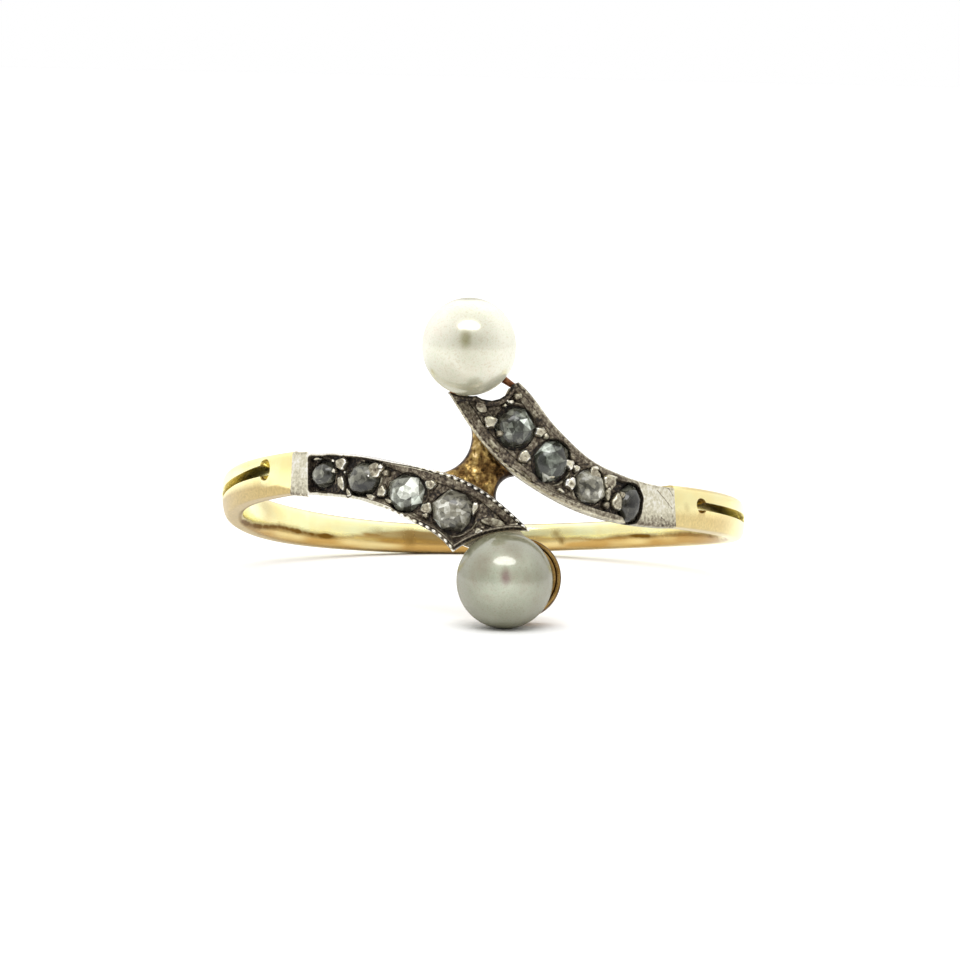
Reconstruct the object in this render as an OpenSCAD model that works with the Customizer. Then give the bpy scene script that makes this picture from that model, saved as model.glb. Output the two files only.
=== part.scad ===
// Crossover ring: a gold band whose two arms sweep past each other. Each arm carries a
// platinum channel with four rose-cut diamonds and ends in a pearl.
// The ring is described upright about its own finger axis, with the front at -Y,
// and is then laid on its side, as it rests by itself.

/* [Band] */
// Radius of the finger hole
finger_r = 8.5; // [7.75:0.25:10.5]
// Thickness of the band
band_t = 0.8; // [0.7:0.05:0.9]
// Width of the band at the back of the finger
back_w = 1.06; // [0.9:0.02:1.2]
// Width of the band at its shoulders
shoulder_w = 1.42; // [1.36:0.02:1.5]
// How far the left shoulder runs up from the middle of the ring
left_rise = 0.72; // [0.66:0.02:0.78]
// How far the right shoulder runs down from the middle of the ring
right_drop = 0.62; // [0.56:0.02:0.68]
// How far the back of the band hangs below the middle of the ring
back_drop = 0.08; // [0:0.02:0.1]

/* [Shoulder slots] */
// Distance of each slot's wide end from the front, measured round the finger
slot_start = 9.35; // [8.8:0.1:9.6]
// Length of each pierced slot
slot_len = 5.8; // [3:0.1:7]
// Width of each pierced slot
slot_w = 0.28; // [0.2:0.02:0.36]
// Radius of the two drilled holes at a slot's wide end
drill_r = 0.16; // [0.1:0.01:0.18]

/* [Arms] */
// Distance from the front, round the finger, at which gold changes to platinum
arm_reach = 7.65; // [7.5:0.05:7.8]
// How far the arms stand above the shoulders at the front
arm_rise = 0.85; // [0.7:0.05:0.95]
// Thickness of the platinum
platinum_t = 0.42; // [0.4:0.01:0.45]
// Width of the rim on each side of a channel
rim_w = 0.2; // [0.15:0.01:0.22]
// Depth of the channels below their rims
channel_depth = 0.26; // [0.2:0.01:0.28]
// Length of plain platinum on the left arm before its channel
left_collar = 0.9; // [0.6:0.1:1.1]
// Length of plain platinum on the right arm before its channel
right_collar = 1.3; // [0.9:0.1:1.4]
// Radius of the grains that hold the stones
grain_r = 0.18; // [0.12:0.01:0.2]

/* [Pearls] */
// Radius of the top pearl
top_pearl_r = 1.55; // [1.5:0.01:1.58]
// Radius of the bottom pearl
bottom_pearl_r = 1.59; // [1.5:0.01:1.6]
// Radius of the peg that each pearl is cemented on
peg_r = 0.3; // [0.25:0.01:0.35]

/* [Fit] */
// Gap between neighbouring pieces
gap = 0.03; // [0.02:0.01:0.04]

/* [Hidden] */
$fn = 64;

gold = "#d9b25a";
platinum = "#a9a39c";
nacre = "#e9e6da";
diamond = "#9fa8a8";

// Columns of every table: distance round the finger from the front, and height
along = 0;
up = 1;

// Third column of the arm tables: half width. Each arm runs from its shoulder to its pearl.
half = 2;
left_arm = [
    [-8.6, 0.76, 0.68],
    [-7.15, 0.62, 0.73],
    [-5.4, 0.46, 0.75],
    [-3.9, 0.14, 0.82],
    [-1.95, -0.54, 0.95],
    [-0.7, -1.25, 0.95],
    [0.4, -2.42, 1.20],
    [1.2, -3.45, 1.30]
];
right_arm = [
    [8.6, -0.63, 0.68],
    [6.9, -0.68, 0.68],
    [4.9, -0.48, 0.77],
    [3.25, 0.05, 0.86],
    [1.75, 1.13, 0.97],
    [0.65, 2.15, 1.08],
    [-0.2, 3.3, 0.97],
    [-0.6, 4.25, 1.00]
];

// Other columns of the stone tables: width, height and turn. Stones run from shoulder to pearl.
wide = 2;
high = 3;
turn = 4;
left_stones = [
    [-5.95, 0.50, 0.88, 0.90, 10],
    [-4.30, 0.17, 1.02, 0.96, 25],
    [-2.60, -0.38, 1.24, 1.28, 5],
    [-0.97, -1.05, 1.40, 1.34, 15]
];
right_stones = [
    [5.5, -0.60, 0.84, 1.00, -10],
    [3.70, -0.18, 1.06, 1.10, 15],
    [2.27, 0.62, 1.22, 1.34, -20],
    [1.07, 1.72, 1.30, 1.38, 10]
];

// Third column of the grain tables: radius as a share of grain_r
share = 2;
left_grains = [
    [-6.40, 0.95, 0.7],
    [-5.15, 0.76, 1.1],
    [-5.12, 0.14, 1.0],
    [-3.60, 0.44, 1.1],
    [-3.45, -0.30, 0.9],
    [-1.70, -0.22, 0.9],
    [-1.80, -1.16, 0.9],
    [0.05, -1.50, 0.8]
];
right_grains = [
    [4.62, -0.06, 1.2],
    [4.45, -0.84, 1.2],
    [3.05, 0.52, 1.1],
    [2.98, -0.14, 1.1],
    [1.88, 1.50, 0.9],
    [1.45, 0.82, 1.1],
    [0.26, 1.94, 1.0],
    [0.94, 2.62, 0.8]
];

// Rings of a rose-cut stone: share of its radius, share of its height, turn in facets
rose_rings = [
    [1, 0, 0],
    [1, 0.25, 0],
    [0.8, 0.65, -0.5],
    [0.42, 1, -1]
];
rose_sides = 8;
seat_depth = 0.08;
stone_proud = 0.05;

// Places on the front as seen square on, across and up
top_pearl = [-0.39, 4.36];
bottom_pearl = [0.68, -3.48];
top_cup = [-0.28, 4.25];
bottom_cup = [1.25, -3.43];
top_scallop = [0.02, 4.13];
bottom_scallop = [1.06, -5.39];
top_cup_r = 1.1;
bottom_cup_r = 1.28;
top_scallop_r = 1.54;
bottom_scallop_r = 3.66;

// Struts between the right arm and the cup of the top pearl
strut_w = 0.16;
strut = [[1.14, 3.08], [0.3, 3.75]];
tail = [[-0.98, 2.98], [-0.6, 3.7]];

// Web of gold between the arms, and the two round hollows that shape its sides
web = [
    [-1.9, 0.2], [-0.9, -0.35], [0.1, -1.05], [0.55, -1.35],
    [1.7, -0.05], [1.2, 0.6], [0.6, 1.1], [-0.1, 1.7], [-0.45, 2.0]
];
web_hollows = [[-1.62, 1.58, 1.24], [1.1, -0.5, 0.68]];

// How far each slot starts above the middle of the band
left_slot_lift = 0.22;
right_slot_lift = 0.1;
drill_spread = 0.22;

// Radii from the finger's axis
band_r = finger_r + band_t;
round_r = finger_r + 1.3;
base_r = finger_r + 0.25;
pearl_out = finger_r + 2.1;
top_cup_out = finger_r + 1.25;
bottom_cup_out = finger_r + 1.7;
strut_in = finger_r + 0.5;
strut_out = finger_r + 1.0;
web_out = finger_r + 1.02;
peg_out = pearl_out + 0.2;

arm_steps = 28;
band_steps = 64;
section_points = 14;
slot_steps = 12;
lap = 0.3;
side_bevel = 0.12;
under_gap = 0.05;
joint_gap = 0.1;
shoulder_angle = degrees_at(arm_reach + joint_gap);

// How the ring lies: on the bottom pearl and the back of the band
rest_pitch = 12.84;
rest_roll = -2;
rest_lift = 2.6;
rest_back = 1.81;

// Angle round the finger of a distance measured along its front
function degrees_at(distance) = distance / (finger_r + 1.3) * 180 / PI;

// A step from 0 to 1 with level ends
function eased(t) = let(c = min(1, max(0, t))) c * c * (3 - 2 * c);

// A power of a value's size, with the value's sign
function signed_power(v, p) = sign(v) * pow(abs(v), p);

// A point at an angle round the finger, a radius and a height
function round_point(angle, r, height) = [r * sin(angle), -r * cos(angle), height];

// A smooth curve through the rows of a table, with t counting rows
function row_at(rows, t) =
    let(
        last = len(rows) - 1,
        i = min(last - 1, max(0, floor(t))),
        f = t - i,
        b = rows[i],
        c = rows[i + 1],
        a = i > 0 ? rows[i - 1] : 2 * b - c,
        d = i < last - 1 ? rows[i + 2] : 2 * c - b
    )
    0.5 * (2 * b + (c - a) * f + (2 * a - 5 * b + 4 * c - d) * f * f
        + (3 * b - a - 3 * c + d) * f * f * f);

// Direction of a table's curve on the unrolled front, as a unit vector
function heading_at(rows, t) =
    let(
        d = row_at(rows, t + 0.02) - row_at(rows, t - 0.02),
        size = norm([d[along], d[up]])
    )
    [d[along] / size, d[up] / size];

// Radius of an arm's upper face at a distance round the finger
function crest(distance) = band_r + arm_rise * eased((arm_reach - abs(distance)) / arm_reach);

// Radius of an arm's underside, which lifts clear of the finger towards the front
function underside(distance) = finger_r - 0.1 + (base_r - finger_r + 0.1) * eased((7.5 - abs(distance)) / 4);

// A point of an arm: the place along it, an offset across it and a radius
function arm_point(rows, t, offset, r) =
    let(
        row = row_at(rows, t),
        h = heading_at(rows, t)
    )
    round_point(degrees_at(row[along] - h[1] * offset), r, row[up] + h[0] * offset);

// Place along an arm's table at which it comes within a distance of the front
function row_near(rows, distance, low = 0, high = 4) =
    high - low < 0.001 ? low
    : let(middle = (low + high) / 2)
        abs(row_at(rows, middle)[along]) > distance
            ? row_near(rows, distance, middle, high)
            : row_near(rows, distance, low, middle);

// Height of the middle of the band at an angle from the front
function band_height(angle) =
    let(forward = eased((180 - abs(angle)) / 125))
    (angle < 0 ? left_rise : -right_drop) * forward - back_drop * (1 - forward);

// Half width of the band at an angle from the front
function band_half(angle) = (back_w + (shoulder_w - back_w) * eased((180 - abs(angle)) / 130)) / 2;

// One rounded section of the band
function band_section(angle) = [
    for (i = [0:section_points - 1])
        let(
            a = -(i + 0.5) * 360 / section_points,
            r = finger_r + band_t / 2 - 0.04 + (band_t / 2 + 0.04) * signed_power(cos(a), 0.6),
            z = band_height(angle) + band_half(angle) * signed_power(sin(a), 0.7)
        )
        round_point(angle, r, z)
];

// A solid between sections that have equal numbers of points
module skin(sections) {
    count = len(sections[0]);
    last = len(sections) - 1;
    points = [for (s = sections, p = s) p];
    sides = [
        for (i = [0:last - 1], j = [0:count - 1], k = [0, 1])
            let(
                a = i * count + j,
                b = i * count + (j + 1) % count
            )
            k == 0 ? [a, b + count, b] : [a, a + count, b + count]
    ];
    near_end = [for (j = [1:count - 2]) [0, j, j + 1]];
    far_end = [for (j = [1:count - 2]) [last * count, last * count + j + 1, last * count + j]];
    polyhedron(points = points, faces = concat(sides, near_end, far_end), convexity = 10);
}

// Places a child at a distance before the finger's axis
module on_front(place, distance) {
    translate([place[0], -distance, place[1]])
        children();
}

// A rod square to the front, from one distance before the finger's axis to another
module front_rod(place, r, near, far) {
    on_front(place, near)
        rotate([90, 0, 0])
            cylinder(r = r, h = far - near);
}

// Places a child on the front, with its Z outwards and its Y up
module on_round(distance, height, r) {
    rotate([0, 0, degrees_at(distance)])
        translate([0, -r, height])
            rotate([90, 0, 0])
                children();
}

// The ring laid on its side, as it rests by itself
module at_rest() {
    translate([0, rest_back, rest_lift])
        rotate([-rest_pitch, rest_roll, 0])
            children();
}

module band() {
    skin([
        for (i = [0:band_steps])
            let(a = shoulder_angle + i * (360 - 2 * shoulder_angle) / band_steps)
                band_section(a > 180 ? a - 360 : a)
    ]);
}

// Height of a slot's middle line, which starts above the middle of the band
function slot_height(side, distance, lift) =
    band_height(side * degrees_at(distance)) + lift * (1 - (distance - slot_start) / slot_len);

// A slot pierced through a shoulder, on the side given by its sign, with a wide drilled end
module slot(side, lift) {
    start_height = slot_height(side, slot_start, lift);
    slot_piece(side, lift, slot_start, slot_start + slot_len, slot_w / 2);
    slot_piece(side, lift, slot_start - drill_r / 2, slot_start + drill_r / 2, drill_spread);
    for (way = [-1, 1])
        on_round(side * slot_start, start_height + way * drill_spread, finger_r - 0.5)
            cylinder(r = drill_r, h = band_t + 1, $fn = 24);
}

module slot_piece(side, lift, first, last, reach) {
    skin([
        for (i = [0:slot_steps])
            let(
                d = first + i * (last - first) / slot_steps,
                a = side * degrees_at(d),
                z = slot_height(side, d, lift),
                low = finger_r - 0.5,
                top = band_r + 0.5
            )
            [
                round_point(a, top, z - side * reach),
                round_point(a, low, z - side * reach),
                round_point(a, low, z + side * reach),
                round_point(a, top, z + side * reach)
            ]
    ]);
}

// The gold under one arm, from inside the band to under its pearl
module backing(rows) {
    first = row_near(rows, arm_reach + lap);
    last = len(rows) - 1;
    skin([
        for (i = [0:arm_steps])
            let(
                t = first + i * (last - first) / arm_steps,
                row = row_at(rows, t),
                h = row[half] - 0.02,
                low = underside(row[along]),
                top = crest(row[along]) - platinum_t - under_gap
            )
            [
                arm_point(rows, t, -h, top),
                arm_point(rows, t, -h, low + side_bevel),
                arm_point(rows, t, side_bevel - h, low),
                arm_point(rows, t, h - side_bevel, low),
                arm_point(rows, t, h, low + side_bevel),
                arm_point(rows, t, h, top)
            ]
    ]);
}

module strut_between(ends) {
    hull()
        for (place = ends)
            front_rod(place, strut_w / 2, strut_in, strut_out, $fn = 16);
}

module centre_web() {
    difference() {
        intersection() {
            translate([0, -base_r, 0])
                rotate([90, 0, 0])
                    linear_extrude(2)
                        polygon(web);
            translate([0, 0, -3])
                cylinder(r = web_out, h = 6, $fn = 128);
        }
        for (h = web_hollows)
            front_rod(h, h[2], finger_r, round_r + 1);
    }
}

module arms() {
    difference() {
        backing(right_arm);
        front_rod(top_scallop, top_scallop_r, finger_r - 1, round_r + 2);
    }
    backing(left_arm);
    front_rod(top_cup, top_cup_r, base_r, top_cup_out);
    front_rod(bottom_cup, bottom_cup_r, base_r, bottom_cup_out);
    strut_between(strut);
    strut_between(tail);
    centre_web();
}

module shank() color(gold) at_rest() {
    difference() {
        union() {
            band();
            arms();
        }
        on_front(top_pearl, pearl_out)
            sphere(top_pearl_r + gap);
        on_front(bottom_pearl, pearl_out)
            sphere(bottom_pearl_r + gap);
        slot(-1, left_slot_lift);
        slot(1, right_slot_lift);
        translate([0, 0, -10])
            cylinder(r = finger_r, h = 20, $fn = 128);
    }
    front_rod(top_pearl, peg_r, base_r + 0.1, peg_out);
    front_rod(bottom_pearl, peg_r, base_r + 0.1, peg_out);
}

// The platinum top of an arm before it is hollowed
module plate(rows) {
    first = row_near(rows, arm_reach);
    last = len(rows) - 1;
    skin([
        for (i = [0:arm_steps])
            let(
                t = first + i * (last - first) / arm_steps,
                row = row_at(rows, t),
                h = row[half],
                top = crest(row[along])
            )
            [
                arm_point(rows, t, -h, top),
                arm_point(rows, t, -h, top - platinum_t),
                arm_point(rows, t, h, top - platinum_t),
                arm_point(rows, t, h, top)
            ]
    ]);
}

// The channel between the rims, with a round end towards the shoulder
module channel(rows, collar) {
    first = row_near(rows, arm_reach - collar);
    last = len(rows) - 1;
    skin([
        for (i = [0:arm_steps])
            let(
                t = first + pow(i / arm_steps, 1.4) * (last - first),
                row = row_at(rows, t),
                end = min(1, 0.25 + 2.2 * (t - first)),
                h = (row[half] - rim_w) * sqrt(1 - (1 - end) * (1 - end)),
                floor_r = crest(row[along]) - channel_depth
            )
            [
                arm_point(rows, t, -h, floor_r + 1),
                arm_point(rows, t, -h, floor_r),
                arm_point(rows, t, h, floor_r),
                arm_point(rows, t, h, floor_r + 1)
            ]
    ]);
}

// The outline of a stone's girdle, with room round it if asked
function girdle(stone, room) = [
    for (i = [0:rose_sides - 1])
        let(
            a = i * 360 / rose_sides,
            x = (stone[wide] / 2 + room) * cos(a),
            y = (stone[high] / 2 + room) * sin(a)
        )
        [x, y]
];

module seats(stones) {
    for (s = stones)
        on_round(s[along], s[up], crest(s[along]) - channel_depth - seat_depth)
            rotate([0, 0, s[turn]])
                linear_extrude(1)
                    polygon(girdle(s, gap));
}

module grains(rows) {
    for (g = rows)
        on_round(g[along], g[up], crest(g[along]) - channel_depth + 0.02)
            sphere(grain_r * g[share], $fn = 20);
}

module setting(rows, collar, stones, grain_rows, scallop, scallop_r, place, pearl_r) {
    difference() {
        union() {
            difference() {
                plate(rows);
                channel(rows, collar);
            }
            grains(grain_rows);
        }
        seats(stones);
        front_rod(scallop, scallop_r, finger_r - 1, round_r + 2);
        on_front(place, pearl_out)
            sphere(pearl_r + gap);
    }
}

module setting_left() color(platinum) at_rest()
    setting(left_arm, left_collar, left_stones, left_grains, bottom_scallop, bottom_scallop_r,
        bottom_pearl, bottom_pearl_r);

module setting_right() color(platinum) at_rest()
    setting(right_arm, right_collar, right_stones, right_grains, top_scallop, top_scallop_r,
        top_pearl, top_pearl_r);

module pearl(place, r) color(nacre) at_rest()
    difference() {
        on_front(place, pearl_out)
            sphere(r);
        front_rod(place, peg_r + gap, base_r - 1, peg_out + gap);
    }

module pearl_top() pearl(top_pearl, top_pearl_r);

module pearl_bottom() pearl(bottom_pearl, bottom_pearl_r);

// A rose-cut stone: a flat base, a girdle, two rows of triangular facets and a table
module rose_cut(stone) color(diamond) at_rest() {
    height = channel_depth + seat_depth + stone_proud - gap;
    on_round(stone[along], stone[up], crest(stone[along]) - channel_depth - seat_depth + gap)
        rotate([0, 0, stone[turn]])
            skin([
                for (ring = rose_rings)
                    [
                        for (i = [0:rose_sides - 1])
                            let(a = (i + ring[2]) * 360 / rose_sides)
                                [
                                    stone[wide] / 2 * ring[0] * cos(a),
                                    stone[high] / 2 * ring[0] * sin(a),
                                    height * ring[1]
                                ]
                    ]
            ]);
}

module diamond_left_1() rose_cut(left_stones[0]);

module diamond_left_2() rose_cut(left_stones[1]);

module diamond_left_3() rose_cut(left_stones[2]);

module diamond_left_4() rose_cut(left_stones[3]);

module diamond_right_1() rose_cut(right_stones[0]);

module diamond_right_2() rose_cut(right_stones[1]);

module diamond_right_3() rose_cut(right_stones[2]);

module diamond_right_4() rose_cut(right_stones[3]);

shank();
setting_left();
setting_right();
pearl_top();
pearl_bottom();
diamond_left_1();
diamond_left_2();
diamond_left_3();
diamond_left_4();
diamond_right_1();
diamond_right_2();
diamond_right_3();
diamond_right_4();
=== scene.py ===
import math
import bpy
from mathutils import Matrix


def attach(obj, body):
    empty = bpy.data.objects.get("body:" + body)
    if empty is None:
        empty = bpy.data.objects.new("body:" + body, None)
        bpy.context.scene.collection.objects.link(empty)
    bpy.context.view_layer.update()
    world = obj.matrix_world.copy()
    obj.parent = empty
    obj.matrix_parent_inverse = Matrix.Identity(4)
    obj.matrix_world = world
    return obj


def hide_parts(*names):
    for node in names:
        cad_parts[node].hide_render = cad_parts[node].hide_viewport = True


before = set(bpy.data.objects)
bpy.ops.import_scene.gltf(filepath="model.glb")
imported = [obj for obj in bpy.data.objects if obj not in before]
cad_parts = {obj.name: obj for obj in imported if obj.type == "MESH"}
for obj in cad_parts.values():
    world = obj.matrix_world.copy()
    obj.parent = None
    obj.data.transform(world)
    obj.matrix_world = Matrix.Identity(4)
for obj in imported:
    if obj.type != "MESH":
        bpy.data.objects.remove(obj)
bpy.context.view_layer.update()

from types import SimpleNamespace

import bpy
import numpy as np
from mathutils import Matrix, Vector

print("frame loaded")


# The ring's own measures, in millimetres, with the ring upright about the finger.
ring = {
    "fingerRadius": 8.5,
    "bandThickness": 0.8,
    "backWidth": 1.06,         # the band's width at the back and at its shoulders
    "shoulderWidth": 1.42,
    "leftRise": 0.72,          # how far the band's middle lies over or under the ring's at each shoulder
    "rightDrop": 0.62,
    "backDrop": 0.08,
    "frontRadius": 9.8,        # distances round the front are measured at this radius
    "armReach": 7.65,          # distance at which the platinum begins
    "armRise": 0.85,           # how far the arms stand out at the front
    "platinum": 0.42,          # its thickness
    "baseRadius": 8.75,        # the arms' underside at the front, which it reaches over the next distances
    "liftFrom": 7.5,
    "liftOver": 4,
    "pitch": 12.84,            # how the ring lies by itself, in degrees
    "roll": -2.0,
    "lift": 2.6,               # how far its middle then lies over the floor and behind the origin
    "back": 1.81,
}
bandRadius = ring["fingerRadius"] + ring["bandThickness"]

# along the front, height, half width; each arm runs from its shoulder to its pearl
leftArm = np.array([
    [-8.6, 0.76, 0.68], [-7.15, 0.61, 0.76], [-5.4, 0.43, 0.80], [-3.9, 0.14, 0.82],
    [-1.95, -0.54, 0.95], [-0.68, -1.23, 1.06], [0.42, -2.40, 1.22], [1.2, -3.45, 1.30],
])
rightArm = np.array([
    [8.6, -0.63, 0.68], [6.9, -0.70, 0.70], [4.89, -0.53, 0.80], [3.20, -0.03, 0.90],
    [1.65, 1.02, 1.07], [0.67, 2.17, 1.12], [-0.2, 3.3, 0.97], [-0.6, 4.25, 1.00],
])


def eased(value, low=0.0, high=1.0):
    # 0 below low and 1 above high, joined by 3cc - 2ccc, which is level at both ends
    c = np.clip((value - low) / (high - low), 0, 1)
    return c * c * (3 - 2 * c)


def bump(value, centre, width):
    # a bell of height 1: e to the minus square of the distance in widths
    return np.exp(-((value - centre) / width) ** 2)


def signedPower(value, power):
    # the power of the value's size, with the value's sign
    return np.sign(value) * np.abs(value) ** power


def lattice(x, y, seed):
    # noise from -1 to 1: a hashed number at each whole x and y, eased between neighbours
    def hashed(i, j):
        # the far digits of a sine, turned into a number from -1 to 1
        turned = np.sin(i * 127.1 + j * 311.7 + seed * 74.7) * 43758.5453
        return 2 * (turned - np.floor(turned)) - 1
    i, j = np.floor(x), np.floor(y)
    u, v = eased(x - i), eased(y - j)
    low = hashed(i, j) * (1 - u) + hashed(i + 1, j) * u
    high = hashed(i, j + 1) * (1 - u) + hashed(i + 1, j + 1) * u
    return low * (1 - v) + high * v


def rowsAt(rows, t):
    # Catmull-Rom curve through the rows, with t counting rows
    last = len(rows) - 1
    ends = np.vstack([2 * rows[0] - rows[1], rows, 2 * rows[-1] - rows[-2]])
    i = np.clip(np.floor(t).astype(int), 0, last - 1)
    f = (t - i)[..., None]
    a, b, c, d = ends[i], ends[i + 1], ends[i + 2], ends[i + 3]
    return 0.5 * (2 * b + (c - a) * f + (2 * a - 5 * b + 4 * c - d) * f**2 + (3 * b - a - 3 * c + d) * f**3)


def crestAt(along):
    # the arms' upper face rises from the band's own radius towards the front
    return bandRadius + ring["armRise"] * eased((ring["armReach"] - np.abs(along)) / ring["armReach"])


def undersideAt(along):
    # the arms' underside follows the finger at the shoulders and lifts off it towards the front
    rise = ring["baseRadius"] - ring["fingerRadius"]
    return ring["fingerRadius"] + rise * eased((ring["liftFrom"] - np.abs(along)) / ring["liftOver"])


def wrap(along, radius, height):
    # a place round the finger: the distance along the front becomes an angle
    angle = along / ring["frontRadius"]
    return np.stack([radius * np.sin(angle), -radius * np.cos(angle), height + 0 * angle], -1)


def headingAt(rows, t):
    # how the rows change from a little behind t to a little ahead of it
    return rowsAt(rows, t + 0.02) - rowsAt(rows, t - 0.02)


def armSpots(rows, t, offset):
    # centre line at t, moved square to its heading by the offset
    row = rowsAt(rows, t)
    ahead = headingAt(rows, t)
    size = np.hypot(ahead[..., 0], ahead[..., 1])
    return row[..., 0] - ahead[..., 1] / size * offset, row[..., 1] + ahead[..., 0] / size * offset, row


def placeNear(rows, distance):
    # t at which the centre line comes within a distance of the front
    t = np.linspace(0, 5, 5001)
    return t[np.argmax(np.abs(rowsAt(rows, t)[:, 0]) < distance)]


def turnToRest():
    # the upright ring tipped back by the pitch about X, then rolled about Y
    a, b = math.radians(-ring["pitch"]), math.radians(ring["roll"])
    aboutX = np.array([[1, 0, 0], [0, math.cos(a), -math.sin(a)], [0, math.sin(a), math.cos(a)]])
    aboutY = np.array([[math.cos(b), 0, math.sin(b)], [0, 1, 0], [-math.sin(b), 0, math.cos(b)]])
    return aboutY @ aboutX


restTurn = turnToRest()
restShift = np.array([0, ring["back"], ring["lift"]])


def toRest(points):
    # upright millimetres to metres as the ring lies
    return (np.asarray(points, float) @ restTurn.T + restShift) / 1000


def gridFaces(rows, columns, closeRows=False, closeColumns=False, start=0):
    # four corners of each cell of a grid, whose rows or columns may close on themselves
    i = np.arange(rows if closeRows else rows - 1)[:, None]
    j = np.arange(columns if closeColumns else columns - 1)[None, :]
    nextI, nextJ = (i + 1) % rows, (j + 1) % columns
    corners = [i * columns + j, i * columns + nextJ, nextI * columns + nextJ, nextI * columns + j]
    return np.stack([c + 0 * (i + j) for c in corners], -1).reshape(-1, 4) + start


def sweptSolid(sections):
    # sections of equal counts joined in turn, with a flat face at each end
    n, m = sections.shape[:2]
    ends = np.array([np.arange(m)[::-1], (n - 1) * m + np.arange(m)])
    return sections.reshape(-1, 3), [gridFaces(n, m, closeColumns=True), ends]


def roundSolid(rings):
    # rings of points whose first and last are single poles
    n, m = rings.shape[:2]
    inner = rings[1:-1].reshape(-1, 3)
    points = np.vstack([inner, rings[0].mean(0), rings[-1].mean(0)])
    j = np.arange(m)
    first = np.stack([(j + 1) % m, j, 0 * j + len(inner)], -1)
    lastRow = (n - 3) * m
    last = np.stack([lastRow + j, lastRow + (j + 1) % m, 0 * j + len(inner) + 1], -1)
    return points, [gridFaces(n - 2, m, closeColumns=True), first, last]


def reliefSolid(top, low, coarse=1):
    # two grids back to back, joined round their edges; the lower one may keep every few of its columns only
    n, m = top.shape[:2]
    columns = np.arange(0, m, coarse)
    c = len(columns)
    points = np.vstack([top.reshape(-1, 3), low[:, columns].reshape(-1, 3)])
    below = n * m + np.arange(n * c).reshape(n, c)
    i, k = np.arange(n - 1), np.arange(c - 1)
    sideA = np.stack([i * m, (i + 1) * m, below[i + 1, 0], below[i, 0]], -1)
    sideB = np.stack([(i + 1) * m + m - 1, i * m + m - 1, below[i, -1], below[i + 1, -1]], -1)
    over = columns[:-1, None] + np.arange(coarse + 1)[None, :]
    last = np.concatenate([(n - 1) * m + over, below[-1, k + 1][:, None], below[-1, k][:, None]], 1)
    start = np.concatenate([over[:, ::-1], below[0, k][:, None], below[0, k + 1][:, None]], 1)
    return points, [gridFaces(n, m), gridFaces(n, c, start=n * m)[:, ::-1], sideA, sideB, last, start]


def pointOutwards(points, faces):
    # faces are turned round when the sum of their cones from the middle is negative
    middle = points.mean(0)
    total = 0.0
    for f in faces:
        p = points[f] - middle
        for k in range(1, f.shape[1] - 1):
            total += np.einsum("ni,ni->", p[:, 0], np.cross(p[:, k], p[:, k + 1]))
    return faces if total > 0 else [f[:, ::-1] for f in faces]


def addPiece(name, solid, material, nodes=(), creaseAngle=40, flat=False, tones=None):
    # a mesh object at the origin, riding on the ring's one body; without a material it is only a tool that cuts
    points, faces = solid
    faces = pointOutwards(points, faces)
    sizes = np.concatenate([np.full(len(f), f.shape[1]) for f in faces])
    loops = np.concatenate([f.ravel() for f in faces]).astype(np.int32)
    mesh = bpy.data.meshes.new(name)
    mesh.vertices.add(len(points))
    mesh.vertices.foreach_set("co", toRest(points).astype(np.float32).ravel())
    mesh.loops.add(len(loops))
    mesh.loops.foreach_set("vertex_index", loops)
    mesh.polygons.add(len(sizes))
    mesh.polygons.foreach_set("loop_start", np.concatenate([[0], np.cumsum(sizes)[:-1]]).astype(np.int32))
    mesh.update(calc_edges=True)
    mesh.validate()
    for key, values in (tones or {}).items():
        layer = mesh.attributes.new(key, "FLOAT", "POINT" if len(values) == len(points) else "FACE")
        layer.data.foreach_set("value", np.asarray(values, np.float32).ravel())
    piece = bpy.data.objects.new(name, mesh)
    bpy.context.collection.objects.link(piece)
    if not flat:
        mesh.shade_smooth()
        mesh.set_sharp_from_angle(angle=math.radians(creaseAngle))
    if material is not None:
        mesh.materials.append(material)
        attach(piece, "root")
        if nodes:
            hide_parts(*nodes)
    return piece


def cutAway(piece, solid, tones=None):
    # the piece's mesh less a closed solid, cut exactly and kept as plain faces; the tool's tones come along
    tool = addPiece("cutter", solid, None, flat=True, tones=tones)
    cut = piece.modifiers.new("cut", "BOOLEAN")
    cut.operation = "DIFFERENCE"
    cut.solver = "EXACT"
    cut.object = tool
    made = bpy.data.meshes.new_from_object(piece.evaluated_get(bpy.context.evaluated_depsgraph_get()))
    piece.modifiers.clear()
    old, piece.data = piece.data, made
    made.name = piece.name
    bpy.data.meshes.remove(old)
    bpy.data.objects.remove(tool)


def newMaterial(name):
    # a material with its tree of nodes and its shader
    material = bpy.data.materials.new(name)
    material.use_nodes = True
    return material, material.node_tree, material.node_tree.nodes["Principled BSDF"]


def setInputs(tree, node, inputs):
    # another node's output is linked, and a plain value is set on the socket itself
    for key, value in inputs.items():
        if isinstance(value, bpy.types.NodeSocket):
            tree.links.new(value, node.inputs[key])
        else:
            node.inputs[key].default_value = value


def addNode(tree, kind, settings=None, inputs=None):
    # a node with its settings made first, because they decide which sockets it has
    made = tree.nodes.new(kind)
    for key, value in (settings or {}).items():
        setattr(made, key, value)
    setInputs(tree, made, inputs or {})
    return made


def noiseOf(tree, size, detail=3.0, roughness=0.55):
    # noise on the piece's own coordinates; size is that of its features in millimetres
    place = addNode(tree, "ShaderNodeTexCoord").outputs["Object"]
    inputs = {"Vector": place, "Scale": 1000 / size, "Detail": detail, "Roughness": roughness}
    return addNode(tree, "ShaderNodeTexNoise", None, inputs).outputs["Fac"]


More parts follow.
